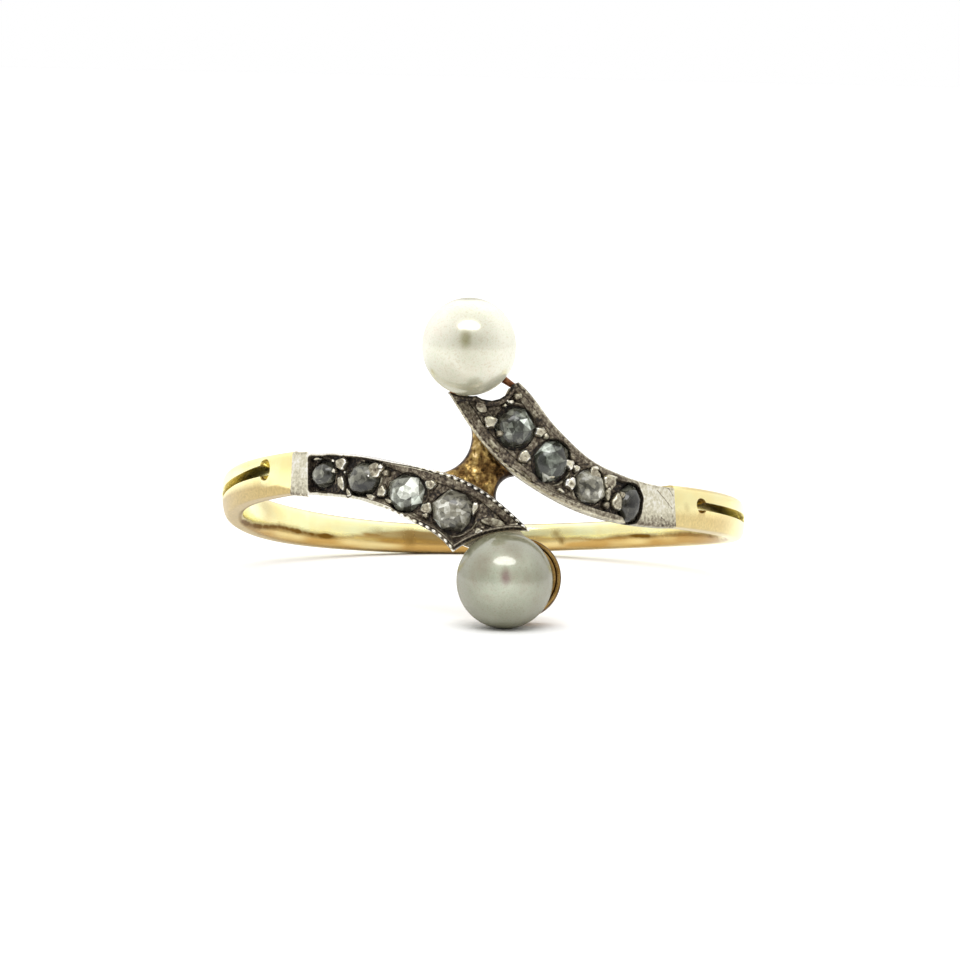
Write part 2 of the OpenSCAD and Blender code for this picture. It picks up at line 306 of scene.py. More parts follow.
def shardsOf(tree, size):
    # cells of random grey on the piece's own coordinates
    place = addNode(tree, "ShaderNodeTexCoord").outputs["Object"]
    return addNode(tree, "ShaderNodeTexVoronoi", None, {"Vector": place, "Scale": 1000 / size}).outputs["Color"]


def paintedOf(tree, key):
    # a value painted on the mesh
    return addNode(tree, "ShaderNodeAttribute", {"attribute_name": key}).outputs["Fac"]


def colourOf(value):
    # three shares of light, or one level for all of them, and no transparency
    return (*value, 1) if isinstance(value, tuple) else (value, value, value, 1)


def rampOf(tree, value, stops):
    # colours placed along a value from 0 to 1
    made = addNode(tree, "ShaderNodeValToRGB", None, {"Fac": value})
    ramp = made.color_ramp
    while len(ramp.elements) < len(stops):
        ramp.elements.new(0.5)
    for element, (place, colour) in zip(ramp.elements, stops):
        element.position = place
        element.color = colourOf(colour)
    return made.outputs["Color"]


def mathOf(tree, operation, a, b):
    # one operation on two values
    return addNode(tree, "ShaderNodeMath", {"operation": operation}, {0: a, 1: b}).outputs[0]


def dotOf(tree, way, axis):
    # how far a direction points along an axis
    node = addNode(tree, "ShaderNodeVectorMath", {"operation": "DOT_PRODUCT"}, {0: way, 1: tuple(axis)})
    return node.outputs["Value"]


def swingOf(tree, noise, size):
    # noise made to swing about zero
    return mathOf(tree, "MULTIPLY", mathOf(tree, "SUBTRACT", noise, 0.5), size)


def mixOf(tree, share, a, b, way="MIX"):
    # a turning into b as the share goes from 0 to 1, or a with b blended in another way
    sides = {key: c if isinstance(c, bpy.types.NodeSocket) else colourOf(c) for key, c in ((6, a), (7, b))}
    return addNode(tree, "ShaderNodeMix", {"data_type": "RGBA", "blend_type": way}, {0: share, **sides}).outputs[2]


def bumpOf(tree, height, depth):
    # depth is the height of the relief in millimetres
    return addNode(tree, "ShaderNodeBump", None, {"Height": height, "Distance": depth / 1000}).outputs["Normal"]


# Finishes: colours are for the lightest to the darkest places, and sizes and depths are in millimetres.
goldFinish = {
    "bright": (1.0, 0.98, 0.56),
    "deep": (1.0, 0.87, 0.41),
    # the next two: peach of the matt sides and of painted shade, and the deeper colour of a painted reflection
    "side": (0.57, 0.43, 0.185),
    "amberAndReflection": (0.49, 0.305, 0.095),
    "grimeAndPaintedLight": (0.17, 0.085, 0.010),
    "patchSize": 2.4,
    "grainSize": 0.09,         # of the matt sides, and how dark it goes
    "grainLow": 0.72,
    "spotSize": 0.25,          # of the spots that the grime breaks into, and how strongly
    "spotSwing": 1.2,
    "scratchSize": 0.06,
    "scratchDepth": 0.0015,
    "roughness": (0.14, 0.26),
    "sideRoughness": 0.36,
    "grimeRoughness": 0.5,
}
backingFinish = dict(goldFinish, bright=(0.90, 0.80, 0.56), deep=(0.74, 0.66, 0.48))
cupFinish = dict(
    goldFinish, bright=(0.66, 0.42, 0.14), deep=(0.36, 0.19, 0.04), grimeAndPaintedLight=(0.05, 0.022, 0.004), patchSize=0.5,
)


def makeGold(name, finish):
    # two golds in soft patches; peach sides, deeper amber and brown grime are painted, partly as painted shade and
    # reflection
    material, tree, shader = newMaterial(name)
    patches = noiseOf(tree, finish["patchSize"], 4)
    colour = rampOf(tree, patches, [(0.38, finish["deep"]), (0.60, finish["bright"])])
    side = paintedOf(tree, "side")
    colour = mixOf(tree, side, colour, finish["side"])
    colour = mixOf(tree, paintedOf(tree, "amberAndReflection"), colour, finish["amberAndReflection"])
    grain = noiseOf(tree, finish["grainSize"], 4, 0.7)
    grain = rampOf(tree, grain, [(0.36, finish["grainLow"]), (0.64, 1.0)])
    colour = mixOf(tree, side, colour, mixOf(tree, 1.0, colour, grain, "MULTIPLY"))
    fine = noiseOf(tree, finish["scratchSize"], 5, 0.7)
    spots = swingOf(tree, noiseOf(tree, finish["spotSize"], 4, 0.6), finish["spotSwing"])
    spotted = mathOf(tree, "MULTIPLY", paintedOf(tree, "grimeAndPaintedLight"), mathOf(tree, "ADD", spots, 1.0))
    dirtAndPaintedLight = rampOf(tree, spotted, [(0.08, 0), (0.75, 1)])
    low, high = finish["roughness"]
    rough = rampOf(tree, fine, [(0.3, low), (0.7, high)])
    rough = mixOf(tree, side, rough, finish["sideRoughness"])
    setInputs(tree, shader, {
        "Base Color": mixOf(tree, dirtAndPaintedLight, colour, finish["grimeAndPaintedLight"]),
        "Roughness": mixOf(tree, dirtAndPaintedLight, rough, finish["grimeRoughness"]),
        "Normal": bumpOf(tree, fine, finish["scratchDepth"]),
        "Metallic": 1.0,
    })
    return material


webFinish = {
    "light": (0.90, 0.70, 0.38),
    "middle": (0.42, 0.285, 0.095),
    "brown": (0.13, 0.07, 0.022),
    "dark": (0.02, 0.010, 0.004),
    "grainSize": 0.2,
    "grainSwing": 1.25,        # how strongly the grain shows in the colour
    "grainDepth": 0.03,
    "clean": 0.76,             # lightness where no grime is painted
    "roughness": (0.5, 0.24),  # of the low and the high grains
}
# the struts' gold, a darker copy of the web's that stands for painted shade
shadedStrutFinish = dict(webFinish, light=(0.36, 0.17, 0.08), middle=(0.20, 0.085, 0.04), brown=(0.09, 0.03, 0.015))


def makeRoughGold(name, finish):
    # cast gold left rough: bright on its high specks, brown where grime is painted, lighter where a painted highlight
    # is
    material, tree, shader = newMaterial(name)
    specks = noiseOf(tree, finish["grainSize"], 6, 0.62)
    clean = mathOf(tree, "ADD", swingOf(tree, specks, finish["grainSwing"]), finish["clean"])
    shade = mathOf(tree, "SUBTRACT", clean, paintedOf(tree, "grimeAndPaintedLight"))
    low, high = finish["roughness"]
    setInputs(tree, shader, {
        "Base Color": rampOf(tree, shade, [
            (0.02, finish["dark"]), (0.24, finish["brown"]), (0.52, finish["middle"]), (0.78, finish["light"]),
        ]),
        "Roughness": rampOf(tree, specks, [(0.3, low), (0.7, high)]),
        "Normal": bumpOf(tree, specks, finish["grainDepth"]),
        "Metallic": 1.0,
    })
    return material


platinumFinish = {
    "worn": (0.97, 0.95, 0.92),
    "satin": (0.66, 0.62, 0.47),
    "tarnish": (0.27, 0.235, 0.175),
    "deep": (0.085, 0.062, 0.042),
    "crevice": (0.008, 0.005, 0.003),
    "speckSize": 0.10,
    "speckDepth": 0.014,
    "gritSwing": 2.3,          # how strongly the specks show where it is tarnished
    "gritLeast": 0.06,         # and as a share of that where it is bright
}


def makePlatinum():
    # worn platinum whose tarnish follows the patina painted on the mesh: 0 is rubbed bright and 1 is a crevice
    finish = platinumFinish
    material, tree, shader = newMaterial("wornPlatinum")
    patina = paintedOf(tree, "patina")
    specks = noiseOf(tree, finish["speckSize"], 6, 0.66)
    swing = swingOf(tree, specks, finish["gritSwing"])
    grit = mathOf(tree, "MULTIPLY", swing, mathOf(tree, "ADD", patina, finish["gritLeast"]))
    shade = mathOf(tree, "ADD", patina, grit)
    setInputs(tree, shader, {
        "Base Color": rampOf(tree, shade, [
            (0.04, finish["worn"]), (0.24, finish["satin"]), (0.50, finish["tarnish"]),
            (0.74, finish["deep"]), (0.93, finish["crevice"]),
        ]),
        "Roughness": rampOf(tree, shade, [(0.05, 0.24), (0.3, 0.42), (0.8, 0.6)]),
        "Metallic": rampOf(tree, shade, [(0.6, 1.0), (0.9, 0.3)]),
        "Normal": bumpOf(tree, specks, finish["speckDepth"]),
    })
    return material


pearlFinish = {
    # low is the colour of painted shade, and the oval's colour after it that of a painted reflection
    "top": {
        "pale": (0.90, 0.88, 0.76), "shade": (0.84, 0.83, 0.69), "warm": (0.90, 0.82, 0.70),
        "low": (0.42, 0.405, 0.285), "paintedReflection": (0.36, 0.34, 0.20), "lustre": 0.30,
    },
    "bottom": {
        "pale": (0.48, 0.505, 0.39), "shade": (0.40, 0.43, 0.325), "warm": (0.40, 0.36, 0.27),
        "low": (0.155, 0.145, 0.082), "paintedReflection": (0.31, 0.235, 0.205), "lustre": 0.15,
    },
    "cloudSize": 1.1,
    "mottleSize": 0.09,
    "mottleDepth": 0.0025,
    "mottle": [(0.36, (0.88, 0.85, 0.80)), (0.50, (1.0, 1.0, 1.0)), (0.64, (0.88, 0.92, 0.86))],
    "roughness": 0.26,
    "skinRoughness": 0.035,    # of the clear skin over the nacre
    "skinIndex": 1.65,
}


def makePearl(name, tones):
    # nacre: three tones in soft clouds, deeper where the mesh has painted shade and reflection, fine mottling and a
    # lustre
    finish = pearlFinish
    material, tree, shader = newMaterial(name)
    cloudy = noiseOf(tree, finish["cloudSize"], 3)
    mottled = noiseOf(tree, finish["mottleSize"], 4, 0.6)
    colour = rampOf(tree, cloudy, [(0.34, tones["shade"]), (0.52, tones["pale"]), (0.70, tones["warm"])])
    # the low colour is mixed in by the painted shade, the last by the small painted reflection
    for painted, tone in (("paintedShadeAndReflection", "low"), ("paintedReflection", "paintedReflection")):
        colour = mixOf(tree, paintedOf(tree, painted), colour, tones[tone])
    facing = addNode(tree, "ShaderNodeLayerWeight").outputs["Facing"]      # the gloss dies away towards the outline
    setInputs(tree, shader, {
        "Base Color": mixOf(tree, 1.0, colour, rampOf(tree, mottled, finish["mottle"]), "MULTIPLY"),
        "Normal": bumpOf(tree, mottled, finish["mottleDepth"]),
        "Metallic": tones["lustre"],
        "Roughness": finish["roughness"],
        "Coat Roughness": finish["skinRoughness"],
        "Coat IOR": finish["skinIndex"],
        "Coat Weight": rampOf(tree, facing, [(0.45, 1.0), (0.85, 0.0)]),
        "Specular IOR Level": rampOf(tree, facing, [(0.45, 0.5), (0.85, 0.05)]),
    })
    return material


diamondFinish = {
    # colours by depth of tone, from black to white
    "cool": [
        (0.0, (0.004, 0.005, 0.003)), (0.3, (0.038, 0.043, 0.033)),
        (0.6, (0.23, 0.26, 0.22)), (0.9, (0.82, 0.90, 0.80)),
    ],
    "warm": [
        (0.0, (0.006, 0.005, 0.003)), (0.3, (0.050, 0.046, 0.034)),
        (0.6, (0.27, 0.255, 0.195)), (0.9, (0.95, 0.94, 0.86)),
    ],
    "shardSize": 0.17,
    "shardSwing": 0.36,
    "cloudSize": 0.2,
    "cloudSwing": 0.5,
    "roughness": (0.08, 0.26),
    "index": 1.6,
}


def makeDiamond():
    # old rose-cut diamond over a closed back: each facet has its own depth of tone, broken by inner shards
    finish = diamondFinish
    material, tree, shader = newMaterial("oldDiamond")
    cloudy = noiseOf(tree, finish["cloudSize"], 4, 0.65)
    shards = swingOf(tree, shardsOf(tree, finish["shardSize"]), finish["shardSwing"])
    clouds = swingOf(tree, cloudy, finish["cloudSwing"])
    # the painted tone carries the facets' painted highlights and reflections
    shade = mathOf(tree, "ADD", mathOf(tree, "ADD", paintedOf(tree, "tone"), shards), clouds)
    cool, warm = (rampOf(tree, shade, finish[key]) for key in ("cool", "warm"))
    low, high = finish["roughness"]
    setInputs(tree, shader, {
        "Base Color": mixOf(tree, paintedOf(tree, "tint"), cool, warm),
        "Roughness": rampOf(tree, cloudy, [(0.3, low), (0.7, high)]),
        "IOR": finish["index"],
    })
    return material


yellowGold = makeGold("yellowGold", goldFinish)
backingGold = makeGold("backingGold", backingFinish)
cupGold = makeGold("cupGold", cupFinish)
roughGold = makeRoughGold("roughGold", webFinish)
shadedStrutGold = makeRoughGold("shadedStrutGold", shadedStrutFinish)
wornPlatinum = makePlatinum()
ivoryNacre = makePearl("ivoryNacre", pearlFinish["top"])
silverNacre = makePearl("silverNacre", pearlFinish["bottom"])
oldDiamond = makeDiamond()
print("materials made")


band = {
    "steps": 420,
    "arcPoints": 48,
    "wallPoints": 9,
    "sags": [(-118, 30, 0.16), (140, 35, -0.08)],      # angle, width in degrees, depth
    "hollow": 0.10,            # how far the inside curves away from the finger at its edges
    "bevel": 0.13,             # how far the outside leans in towards its lower edge at the shoulders
    "softCorner": 0.62,        # power of the section's rounding at the back, and what the shoulders take off it
    "squareBy": 0.34,
    "slotStart": 9.21,
    "slotLength": 5.94,
    "slotHalf": 0.14,
    "slotFlare": (0.05, 0.0),  # how much wider the slots begin, left and right
    "slotCloses": 0.15,        # share of the slot's width that is left at the finger
    "drillRadius": 0.17,
    "drillLong": 0.31,
    "drillSpread": (0.2, 0.09),
    "leftSlotLift": 0.22,
    "rightSlotLift": 0.1,
    # the inner face's dark line, a painted reflection: height as a share of the half width, and depth of tone, by angle
    "lineHeights": [
        (-180, 0.35), (-162, 0.46), (-148, -0.04), (-142, -0.30), (-133, -0.40), (-118, -0.37), (-110, -0.62),
        (-92, -1.07), (92, -0.9), (101, -0.64), (117, -0.25), (126, -0.19), (134, -0.27), (140, -0.20),
        (149, -0.28), (158, -0.17), (180, 0.35),
    ],
    "lineDepths": [
        (-180, 0), (-150, 0.15), (-141, 0.35), (-138, 0.65), (-126, 0.82), (-112, 0.85), (-92, 0.95), (98, 0.2),
        (106, 0.55), (126, 0.6), (130, 0.3), (134, 0.6), (142, 0.45), (152, 0.3), (160, 0.1), (180, 0),
    ],
    "lineWidth": 0.17,
    # where the outer face turns peach, a painted shade, as a share of the half width, by angle
    "peachHeights": [
        (-150, -1.3), (-120, -0.5), (-95, -0.15), (-64, -0.14), (-60, -0.30), (-56, -0.42), (-50, -0.52),
        (-45, -0.8), (45, -0.12), (60, -0.12), (75, -0.05), (100, -0.1), (120, -0.5), (150, -1.3),
    ],
    # dark marks on the inner and the outer face: angle, share of the half width, size of each way, depth of tone
    "marks": [
        (-161.0, -0.1, 1.8, 0.7, 0.42), (161.2, 0.2, 1.2, 0.35, 0.6), (159.8, -0.35, 0.9, 0.3, 0.55),
        (-136.0, -0.42, 1.3, 0.13, 0.7), (137.2, -0.21, 3.0, 0.15, 0.45), (-152, 0.3, 3.0, 0.4, 0.2),
    ],
    "outerMarks": [(48.6, -0.10, 1.1, 0.06, 0.8)],
}


def bandHeight(angle):
    # the band's middle runs from its drop at the back to the rise or fall of each shoulder
    forward = eased((180 - np.abs(angle)) / 125)
    middle = np.where(angle < 0, ring["leftRise"], -ring["rightDrop"]) * forward - ring["backDrop"] * (1 - forward)
    return middle - bandSag(angle) / 2


def bandSag(angle):
    # how much lower the lower edge lies: a bell on each side
    return sum(deep * bump(angle, middle, width) for middle, width, deep in band["sags"])


def bandHalf(angle):
    # half the width, which grows from the back to the shoulders and with the sag
    widen = eased((180 - np.abs(angle)) / 130)
    return (ring["backWidth"] + (ring["shoulderWidth"] - ring["backWidth"]) * widen + bandSag(angle)) / 2


def bandPower(angle):
    # the section's corners are soft at the back and square at the shoulders
    return band["softCorner"] - band["squareBy"] * eased(180 - np.abs(angle), 70, 125)


def slotReach(distance, onLeft):
    # half width of a slot: a bar with a round end, and two drilled holes side by side at its start
    fromStart = distance - band["slotStart"]
    arc = np.sqrt(np.clip(1 - (fromStart / band["drillLong"]) ** 2, 1e-4, None))
    spread = np.where(onLeft, *band["drillSpread"])
    holes = spread * np.where(fromStart < 0, arc, 1) + band["drillRadius"] * arc
    toEnd = np.clip(band["slotLength"] - fromStart, 0, band["slotHalf"])
    bar = np.sqrt(np.clip(band["slotHalf"] ** 2 - (band["slotHalf"] - toEnd) ** 2, 1e-6, None))
    bar = bar + np.where(onLeft, *band["slotFlare"]) * (1 - eased(fromStart, 0, 2.5))
    return np.where(np.abs(fromStart) < band["drillLong"], np.maximum(holes, np.where(fromStart > 0, bar, 0)), bar)


def bandPoint(angle, a):
    # rounded box section: powers of cosine and sine, its inner side bowed towards the finger
    power = bandPower(angle)
    share = signedPower(np.sin(a), power)
    depth = signedPower(np.cos(a), power)
    half = ring["bandThickness"] / 2
    radius = ring["fingerRadius"] + half + half * depth
    forward = eased(180 - np.abs(angle), 60, 120)
    radius = radius - band["bevel"] * forward * np.clip(depth, 0, 1) * np.clip(-share - 0.1, 0, 1)
    bowed = ring["fingerRadius"] + band["hollow"] * np.abs(share) ** 2.5
    radius = np.where(depth < 0, np.maximum(radius, bowed), radius)
    return radius, bandHeight(angle) + bandHalf(angle) * share


def shoulderEdge(rows, height):
    # distance round the front at which the platinum of an arm begins, at a height
    t = np.array(placeNear(rows, ring["armReach"]))
    row = rowsAt(rows, t)
    ahead = headingAt(rows, t)
    return np.abs(row[0] - ahead[1] / ahead[0] * (height - row[1]))


def bandPlace(angles, radius, height):
    # near its two ends the band's sections lean to meet the platinum
    leanRight = shoulderEdge(rightArm, height) - ring["armReach"]
    leanLeft = shoulderEdge(leftArm, height) - ring["armReach"]
    near = 1 - eased(np.abs(angles), 46, 60)
    along = np.radians(angles) * ring["frontRadius"] + near * np.where(angles > 0, leanRight, -leanLeft)
    return wrap(along, radius, height)


def bandStations():
    # angles round the ring, closer where the slots begin and end
    edge = math.degrees(ring["armReach"] / ring["frontRadius"])
    turn = np.linspace(edge, 360 - edge, band["steps"])
    first = band["slotStart"] - band["drillLong"]
    last = band["slotStart"] + band["slotLength"]
    drilled = 2 * band["drillLong"]
    dense = np.concatenate([
        first + drilled * (1 - np.cos(np.linspace(0, math.pi, 41))) / 2, [first + drilled + 0.002],
        last - np.linspace(band["slotHalf"], 0, 9),
    ])
    dense = np.degrees(dense / ring["frontRadius"])
    turn = np.unique(np.concatenate([turn, dense, 360 - dense]))
    return np.where(turn > 180, turn - 360, turn), first, last


def bandSolid():
    # two arcs of the section, above and below the slots, joined by walls where a slot is and by plain strips elsewhere
    angles, first, last = bandStations()
    distance = np.radians(np.abs(angles)) * ring["frontRadius"]
    lift = np.where(angles < 0, band["leftSlotLift"], band["rightSlotLift"])
    middle = lift * np.clip(1 - (distance - band["slotStart"]) / band["slotLength"], 0, 1.1)
    reach = slotReach(distance, angles < 0)
    power = bandPower(angles)

    def lipTurn(sign, closing):
        # the section's own angle at which a lip of the slot stands
        return np.arcsin(signedPower((middle + sign * closing * reach) / bandHalf(angles), 1 / power))[:, None]

    k, w = band["arcPoints"], band["wallPoints"]
    share = np.linspace(0, 1, k)[None, :]
    inner = band["slotCloses"]
    upperFrom, upperTo = lipTurn(1, 1), math.pi - lipTurn(1, inner)
    lowerFrom, lowerTo = math.pi - lipTurn(-1, inner), 2 * math.pi + lipTurn(-1, 1)
    station = angles[:, None]
    blocks, depths, shares = [], [], []
    for start, end in ((upperFrom, upperTo), (lowerFrom, lowerTo)):
        radius, height = bandPoint(station, start + share * (end - start))
        step = np.linspace(0, 1, w + 2)[None, 1:-1]
        wallRadius = radius[:, -1:] + (radius[:, :1] - radius[:, -1:]) * step
        wallHeight = height[:, -1:] + (height[:, :1] - height[:, -1:]) * step
        blocks += [bandPlace(station, radius, height), bandPlace(station, wallRadius, wallHeight)]
        depths += [radius, wallRadius]
        shares += [(height - bandHeight(station)) / bandHalf(station), 0 * wallRadius]
    points = np.concatenate(blocks, 1)
    n, m = points.shape[:2]
    index = np.arange(n * m).reshape(n, m)
    upperArc, upperWall = np.arange(k), np.arange(k, k + w)
    lowerArc, lowerWall = np.arange(k + w, 2 * k + w), np.arange(2 * k + w, 2 * k + 2 * w)

    def strip(columns, keep):
        # faces between neighbouring columns, for the cells kept
        i = np.flatnonzero(keep)[:, None]
        one, other = np.asarray(columns[:-1])[None, :], np.asarray(columns[1:])[None, :]
        return np.stack([index[i, one], index[i, other], index[i + 1, other], index[i + 1, one]], -1).reshape(-1, 4)

    centre = (distance[:-1] + distance[1:]) / 2
    pierced = (centre > first) & (centre < last)
    whole = np.ones(n - 1, bool)
    faces = [
        strip(upperArc, whole), strip(lowerArc, whole),
        strip([upperArc[-1], lowerArc[0]], ~pierced), strip([lowerArc[-1], upperArc[0]], ~pierced),
        strip([upperArc[-1], *upperWall, upperArc[0]], pierced),
        strip([lowerArc[-1], *lowerWall, lowerArc[0]], pierced),
    ]
    cap = np.concatenate([[0], upperWall[::-1], [upperArc[-1], lowerArc[0]], lowerWall[::-1], [lowerArc[-1]]])
    for i in np.flatnonzero(np.diff(pierced.astype(int))):
        wall = index[i + 1, cap]
        faces.append((wall if pierced[i + 1] else wall[::-1])[None, :])
    loop = np.concatenate([upperArc, lowerArc])
    faces += [index[0, loop[::-1]][None, :], index[-1, loop][None, :]]
    tones = bandTones(angles, distance, np.concatenate(depths, 1), np.concatenate(shares, 1), k, w)
    return keepUsed(points.reshape(-1, 3), faces, *[tone.ravel() for tone in tones])


def keepUsed(points, faces, *values):
    # points that no face names are left out
    used = np.unique(np.concatenate([f.ravel() for f in faces]))
    newIndex = np.zeros(len(points), int)
    newIndex[used] = np.arange(len(used))
    return (points[used], [newIndex[f] for f in faces]), *[v[used] for v in values]


def slotTones(angle, fromStart, step, above):
    # streaked grime on the slots' walls: darker at their edges, in the drilled holes and at the far ends
    streaks = lattice(angle / 4, step[None, :] * 6, 8)
    upperWall = 0.7 * bump(step, 0, 0.12) + 0.3 * eased(step, 0.65, 0.95) + 0.35 * streaks - 0.2
    lowerWall = 0.8 * bump(step, 0, 0.12) + 0.5 * streaks - 0.1
    holes = 0.6 * bump(fromStart, -0.08, 0.2) * (0.5 + 0.5 * above)
    walls = (step > 0) * np.where(above, upperWall, lowerWall)
    return walls + (step > 0) * (holes + 0.5 * eased(fromStart, 4.6, 5.5))


def bandTones(angles, distance, radius, share, k, w):
    # side is 1 on the flat sides, matt and partly painted shade, and where the outside is peach, painted shade;
    # amber is 1 below the inner face's dark line, and grime lies on that line, on the marks and in the slots
    # the dark line and the amber below it are a painted reflection
    angle = angles[:, None]
    outward = (radius - ring["fingerRadius"]) / ring["bandThickness"]
    fromStart = distance[:, None] - band["slotStart"]
    pierced = (np.abs(fromStart - band["slotLength"] / 2) < band["slotLength"] / 2 + band["drillLong"]) * 1.0
    step = np.zeros(radius.shape[1])           # how deep in a slot, from its outer edge
    step[k:k + w] = np.linspace(1, 0, w + 2)[1:-1]
    step[2 * k + w:] = np.linspace(0, 1, w + 2)[1:-1]
    walls = slotTones(angle, fromStart, step, np.arange(radius.shape[1]) < k + w)
    walls[:, [0, 2 * k + w - 1]] = 0.1 * pierced

    outside = eased(outward, 0.5, 0.7)
    side = eased(np.abs(share), 0.86, 0.96) * eased(outward, 0.0, 0.08) * (1 - eased(outward, 0.86, 0.98))
    # painted shade: the outside turns peach below a height set by the angle, and along its top edge at the right
    # shoulder
    peach = 1 - eased(share - np.interp(angle, *np.transpose(band["peachHeights"])), -0.07, 0.07)
    rim = eased(share, 0.80, 0.90) * eased(angle, 44, 50) * (1 - eased(angle, 70, 84))
    side = np.maximum(side, outside * np.clip(peach + 0.8 * rim, 0, 1))
    side = side * np.where(angle < 0, 1, 0.72 - 0.45 * eased(angle, 62, 75) + 0.73 * eased(angle, 105, 165))

    inside = 1 - eased(outward, 0.12, 0.4)
    # painted reflection: a dark line along the inner face, with amber below it
    line = np.interp(angle, *np.transpose(band["lineHeights"])) + 0.05 * lattice(angle / 5, 0 * angle, 4)
    depth = np.interp(angle, *np.transpose(band["lineDepths"])) * (1 + 0.2 * lattice(angle / 3, 0 * angle, 6))
    grimeAndPaintedLight = walls + inside * depth * bump(share, line, band["lineWidth"])
    for place, marks in ((inside, band["marks"]), (outside, band["outerMarks"])):
        for mark, height, long, tall, tone in marks:
            grimeAndPaintedLight = grimeAndPaintedLight + place * tone * bump(angle, mark, long) * bump(share, height, tall)

    # the amber and the blush are painted reflection; tint is amber in the slots and on the right shoulder's outside
    amberAndReflection = inside * (1 - eased(share, line - 0.06, line + 0.10)) * (0.85 + 0.3 * lattice(angle / 6, share * 3, 7))
    blush = inside * 0.45 * bump(angle, -112, 5) * eased(share, line, line + 0.3)
    tint = 0.2 * (step > 0) + 0.25 * outside * eased(angle, 40, 44) * (1 - eased(angle, 58, 75))
    return side, np.clip(grimeAndPaintedLight, 0, 1), np.clip(amberAndReflection + blush + tint, 0, 1)


def makeBand():
    # one closed piece with its three tones on its points
    solid, *tones = bandSolid()
    addPiece("goldBand", solid, yellowGold, ["shank"], 35, tones=dict(zip(("side", "grimeAndPaintedLight", "amberAndReflection"), tones)))


makeBand()
print("band made")


arms = {
    "steps": 150,
    "across": 17,
    "lap": 0.3,                # how far the gold runs on inside the band
    "setBack": 0.16,           # how far the gold stands in from the platinum's edges
    "tuck": 0.5,               # and how much further beside the lower pearl
    # circles that cut the arms' ends: across, up and radius, square on the front
    "topScallop": [(-0.40, 4.36, 1.60), (0.30, 3.36, 0.757), (0.75, 4.20, 1.09)],
    "bottomScallop": [(1.06, -5.39, 3.66)],
}


def fromScallop(scallop, x, z):
    # distance outside the nearest of the scallop's circles
    return np.min([np.hypot(x - x0, z - z0) - radius for x0, z0, radius in scallop], axis=0)


def endPlaces(rows, q, scallop):
    # for each share q of the half width, t where the arm first enters the scallop
    t = np.linspace(2.5, len(rows) - 1, 1200)[:, None] + 0 * q[None, :]
    along, up, row = armSpots(rows, t, q[None, :] * rowsAt(rows, t)[..., 2])
    away = fromScallop(scallop, crestAt(row[..., 0]) * np.sin(along / ring["frontRadius"]), up)
    inside = away < 0
    k = np.where(inside.any(0), np.maximum(inside.argmax(0), 1), len(t) - 1)
    j = np.arange(len(q))
    near, far = away[k - 1, j], away[k, j]
    share = np.where(inside.any(0), near / np.maximum(near - far, 1e-9), 1.0)
    return t[k - 1, j] + share * (t[k, j] - t[k - 1, j])


def armLines(rows, q, reach, steps, scallop):
    # t at each step along each line q, from a distance round the front to the scallop or to the arm's own end
    first = placeNear(rows, reach)
    last = endPlaces(rows, q, scallop) if scallop else np.full(len(q), len(rows) - 1.0)
    return first + np.linspace(0, 1, steps)[:, None] * (last - first)[None, :]


def armBacking(rows, scallop):
    # a bar with rounded lower edges, from inside the band to the scallop or under the pearl
    q = np.sin(np.linspace(-1, 1, arms["across"]) * math.pi / 2)
    t = armLines(rows, q, ring["armReach"] + arms["lap"], arms["steps"], scallop)
    row = rowsAt(rows, t)
    setBack = 0.02 + arms["setBack"] * eased(ring["armReach"] - np.abs(row[..., 0]), 0.1, 1.6)
    setBack = setBack + arms["tuck"] * eased(row[..., 0], -0.6, 0.3) * (q < 0) * (rows[0, 0] < 0)
    along, up, row = armSpots(rows, t, q * (row[..., 2] - setBack))
    top = crestAt(row[..., 0]) - ring["platinum"] + 0.01
    low = undersideAt(row[..., 0])
    rounded = (1 - np.sqrt(np.clip(1 - np.abs(q) ** 5, 0, 1))) * 0.8
    return reliefSolid(wrap(along, top, up), wrap(along, low + (top - 0.05 - low) * rounded, up))


web = {
    "steps": 90,
    "across": 56,
    # hollow sides: across, up, radius, and the angles each runs between
    "leftArc": (-1.62, 1.58, 1.24, -108, 20),
    "rightArc": (1.12, -0.50, 0.67, 232, 92),
    "middle": 9.02,            # distance from the finger's middle, and how far its faces bulge from there
    "crown": 0.5,
    "under": 0.2,
    "castDepth": (0.05, 0.03), # of the coarse and the fine unevenness of its face
    "grimeAndPaintedLight": 0.38,             # on the face, and how much more along both borders
    "borderDarkening": 0.5,
    # painted patches: across, up, size, and how much darker; the lighter ones on the left are a painted highlight
    "patches": [
        (-0.24, 0.85, 0.11, -0.4), (-0.27, 0.6, 0.09, -0.35), (-0.28, 0.35, 0.10, -0.4), (-0.2, 0.10, 0.08, -0.4),
        (0.02, -0.2, 0.25, 0.05), (0.50, 0.6, 0.34, 0.22), (0.66, 0.2, 0.3, 0.32), (0.28, -0.57, 0.22, 0.25),
        (0.1, 0.35, 0.18, 0.1), (-0.55, 0.15, 0.2, 0.1),
    ],
}


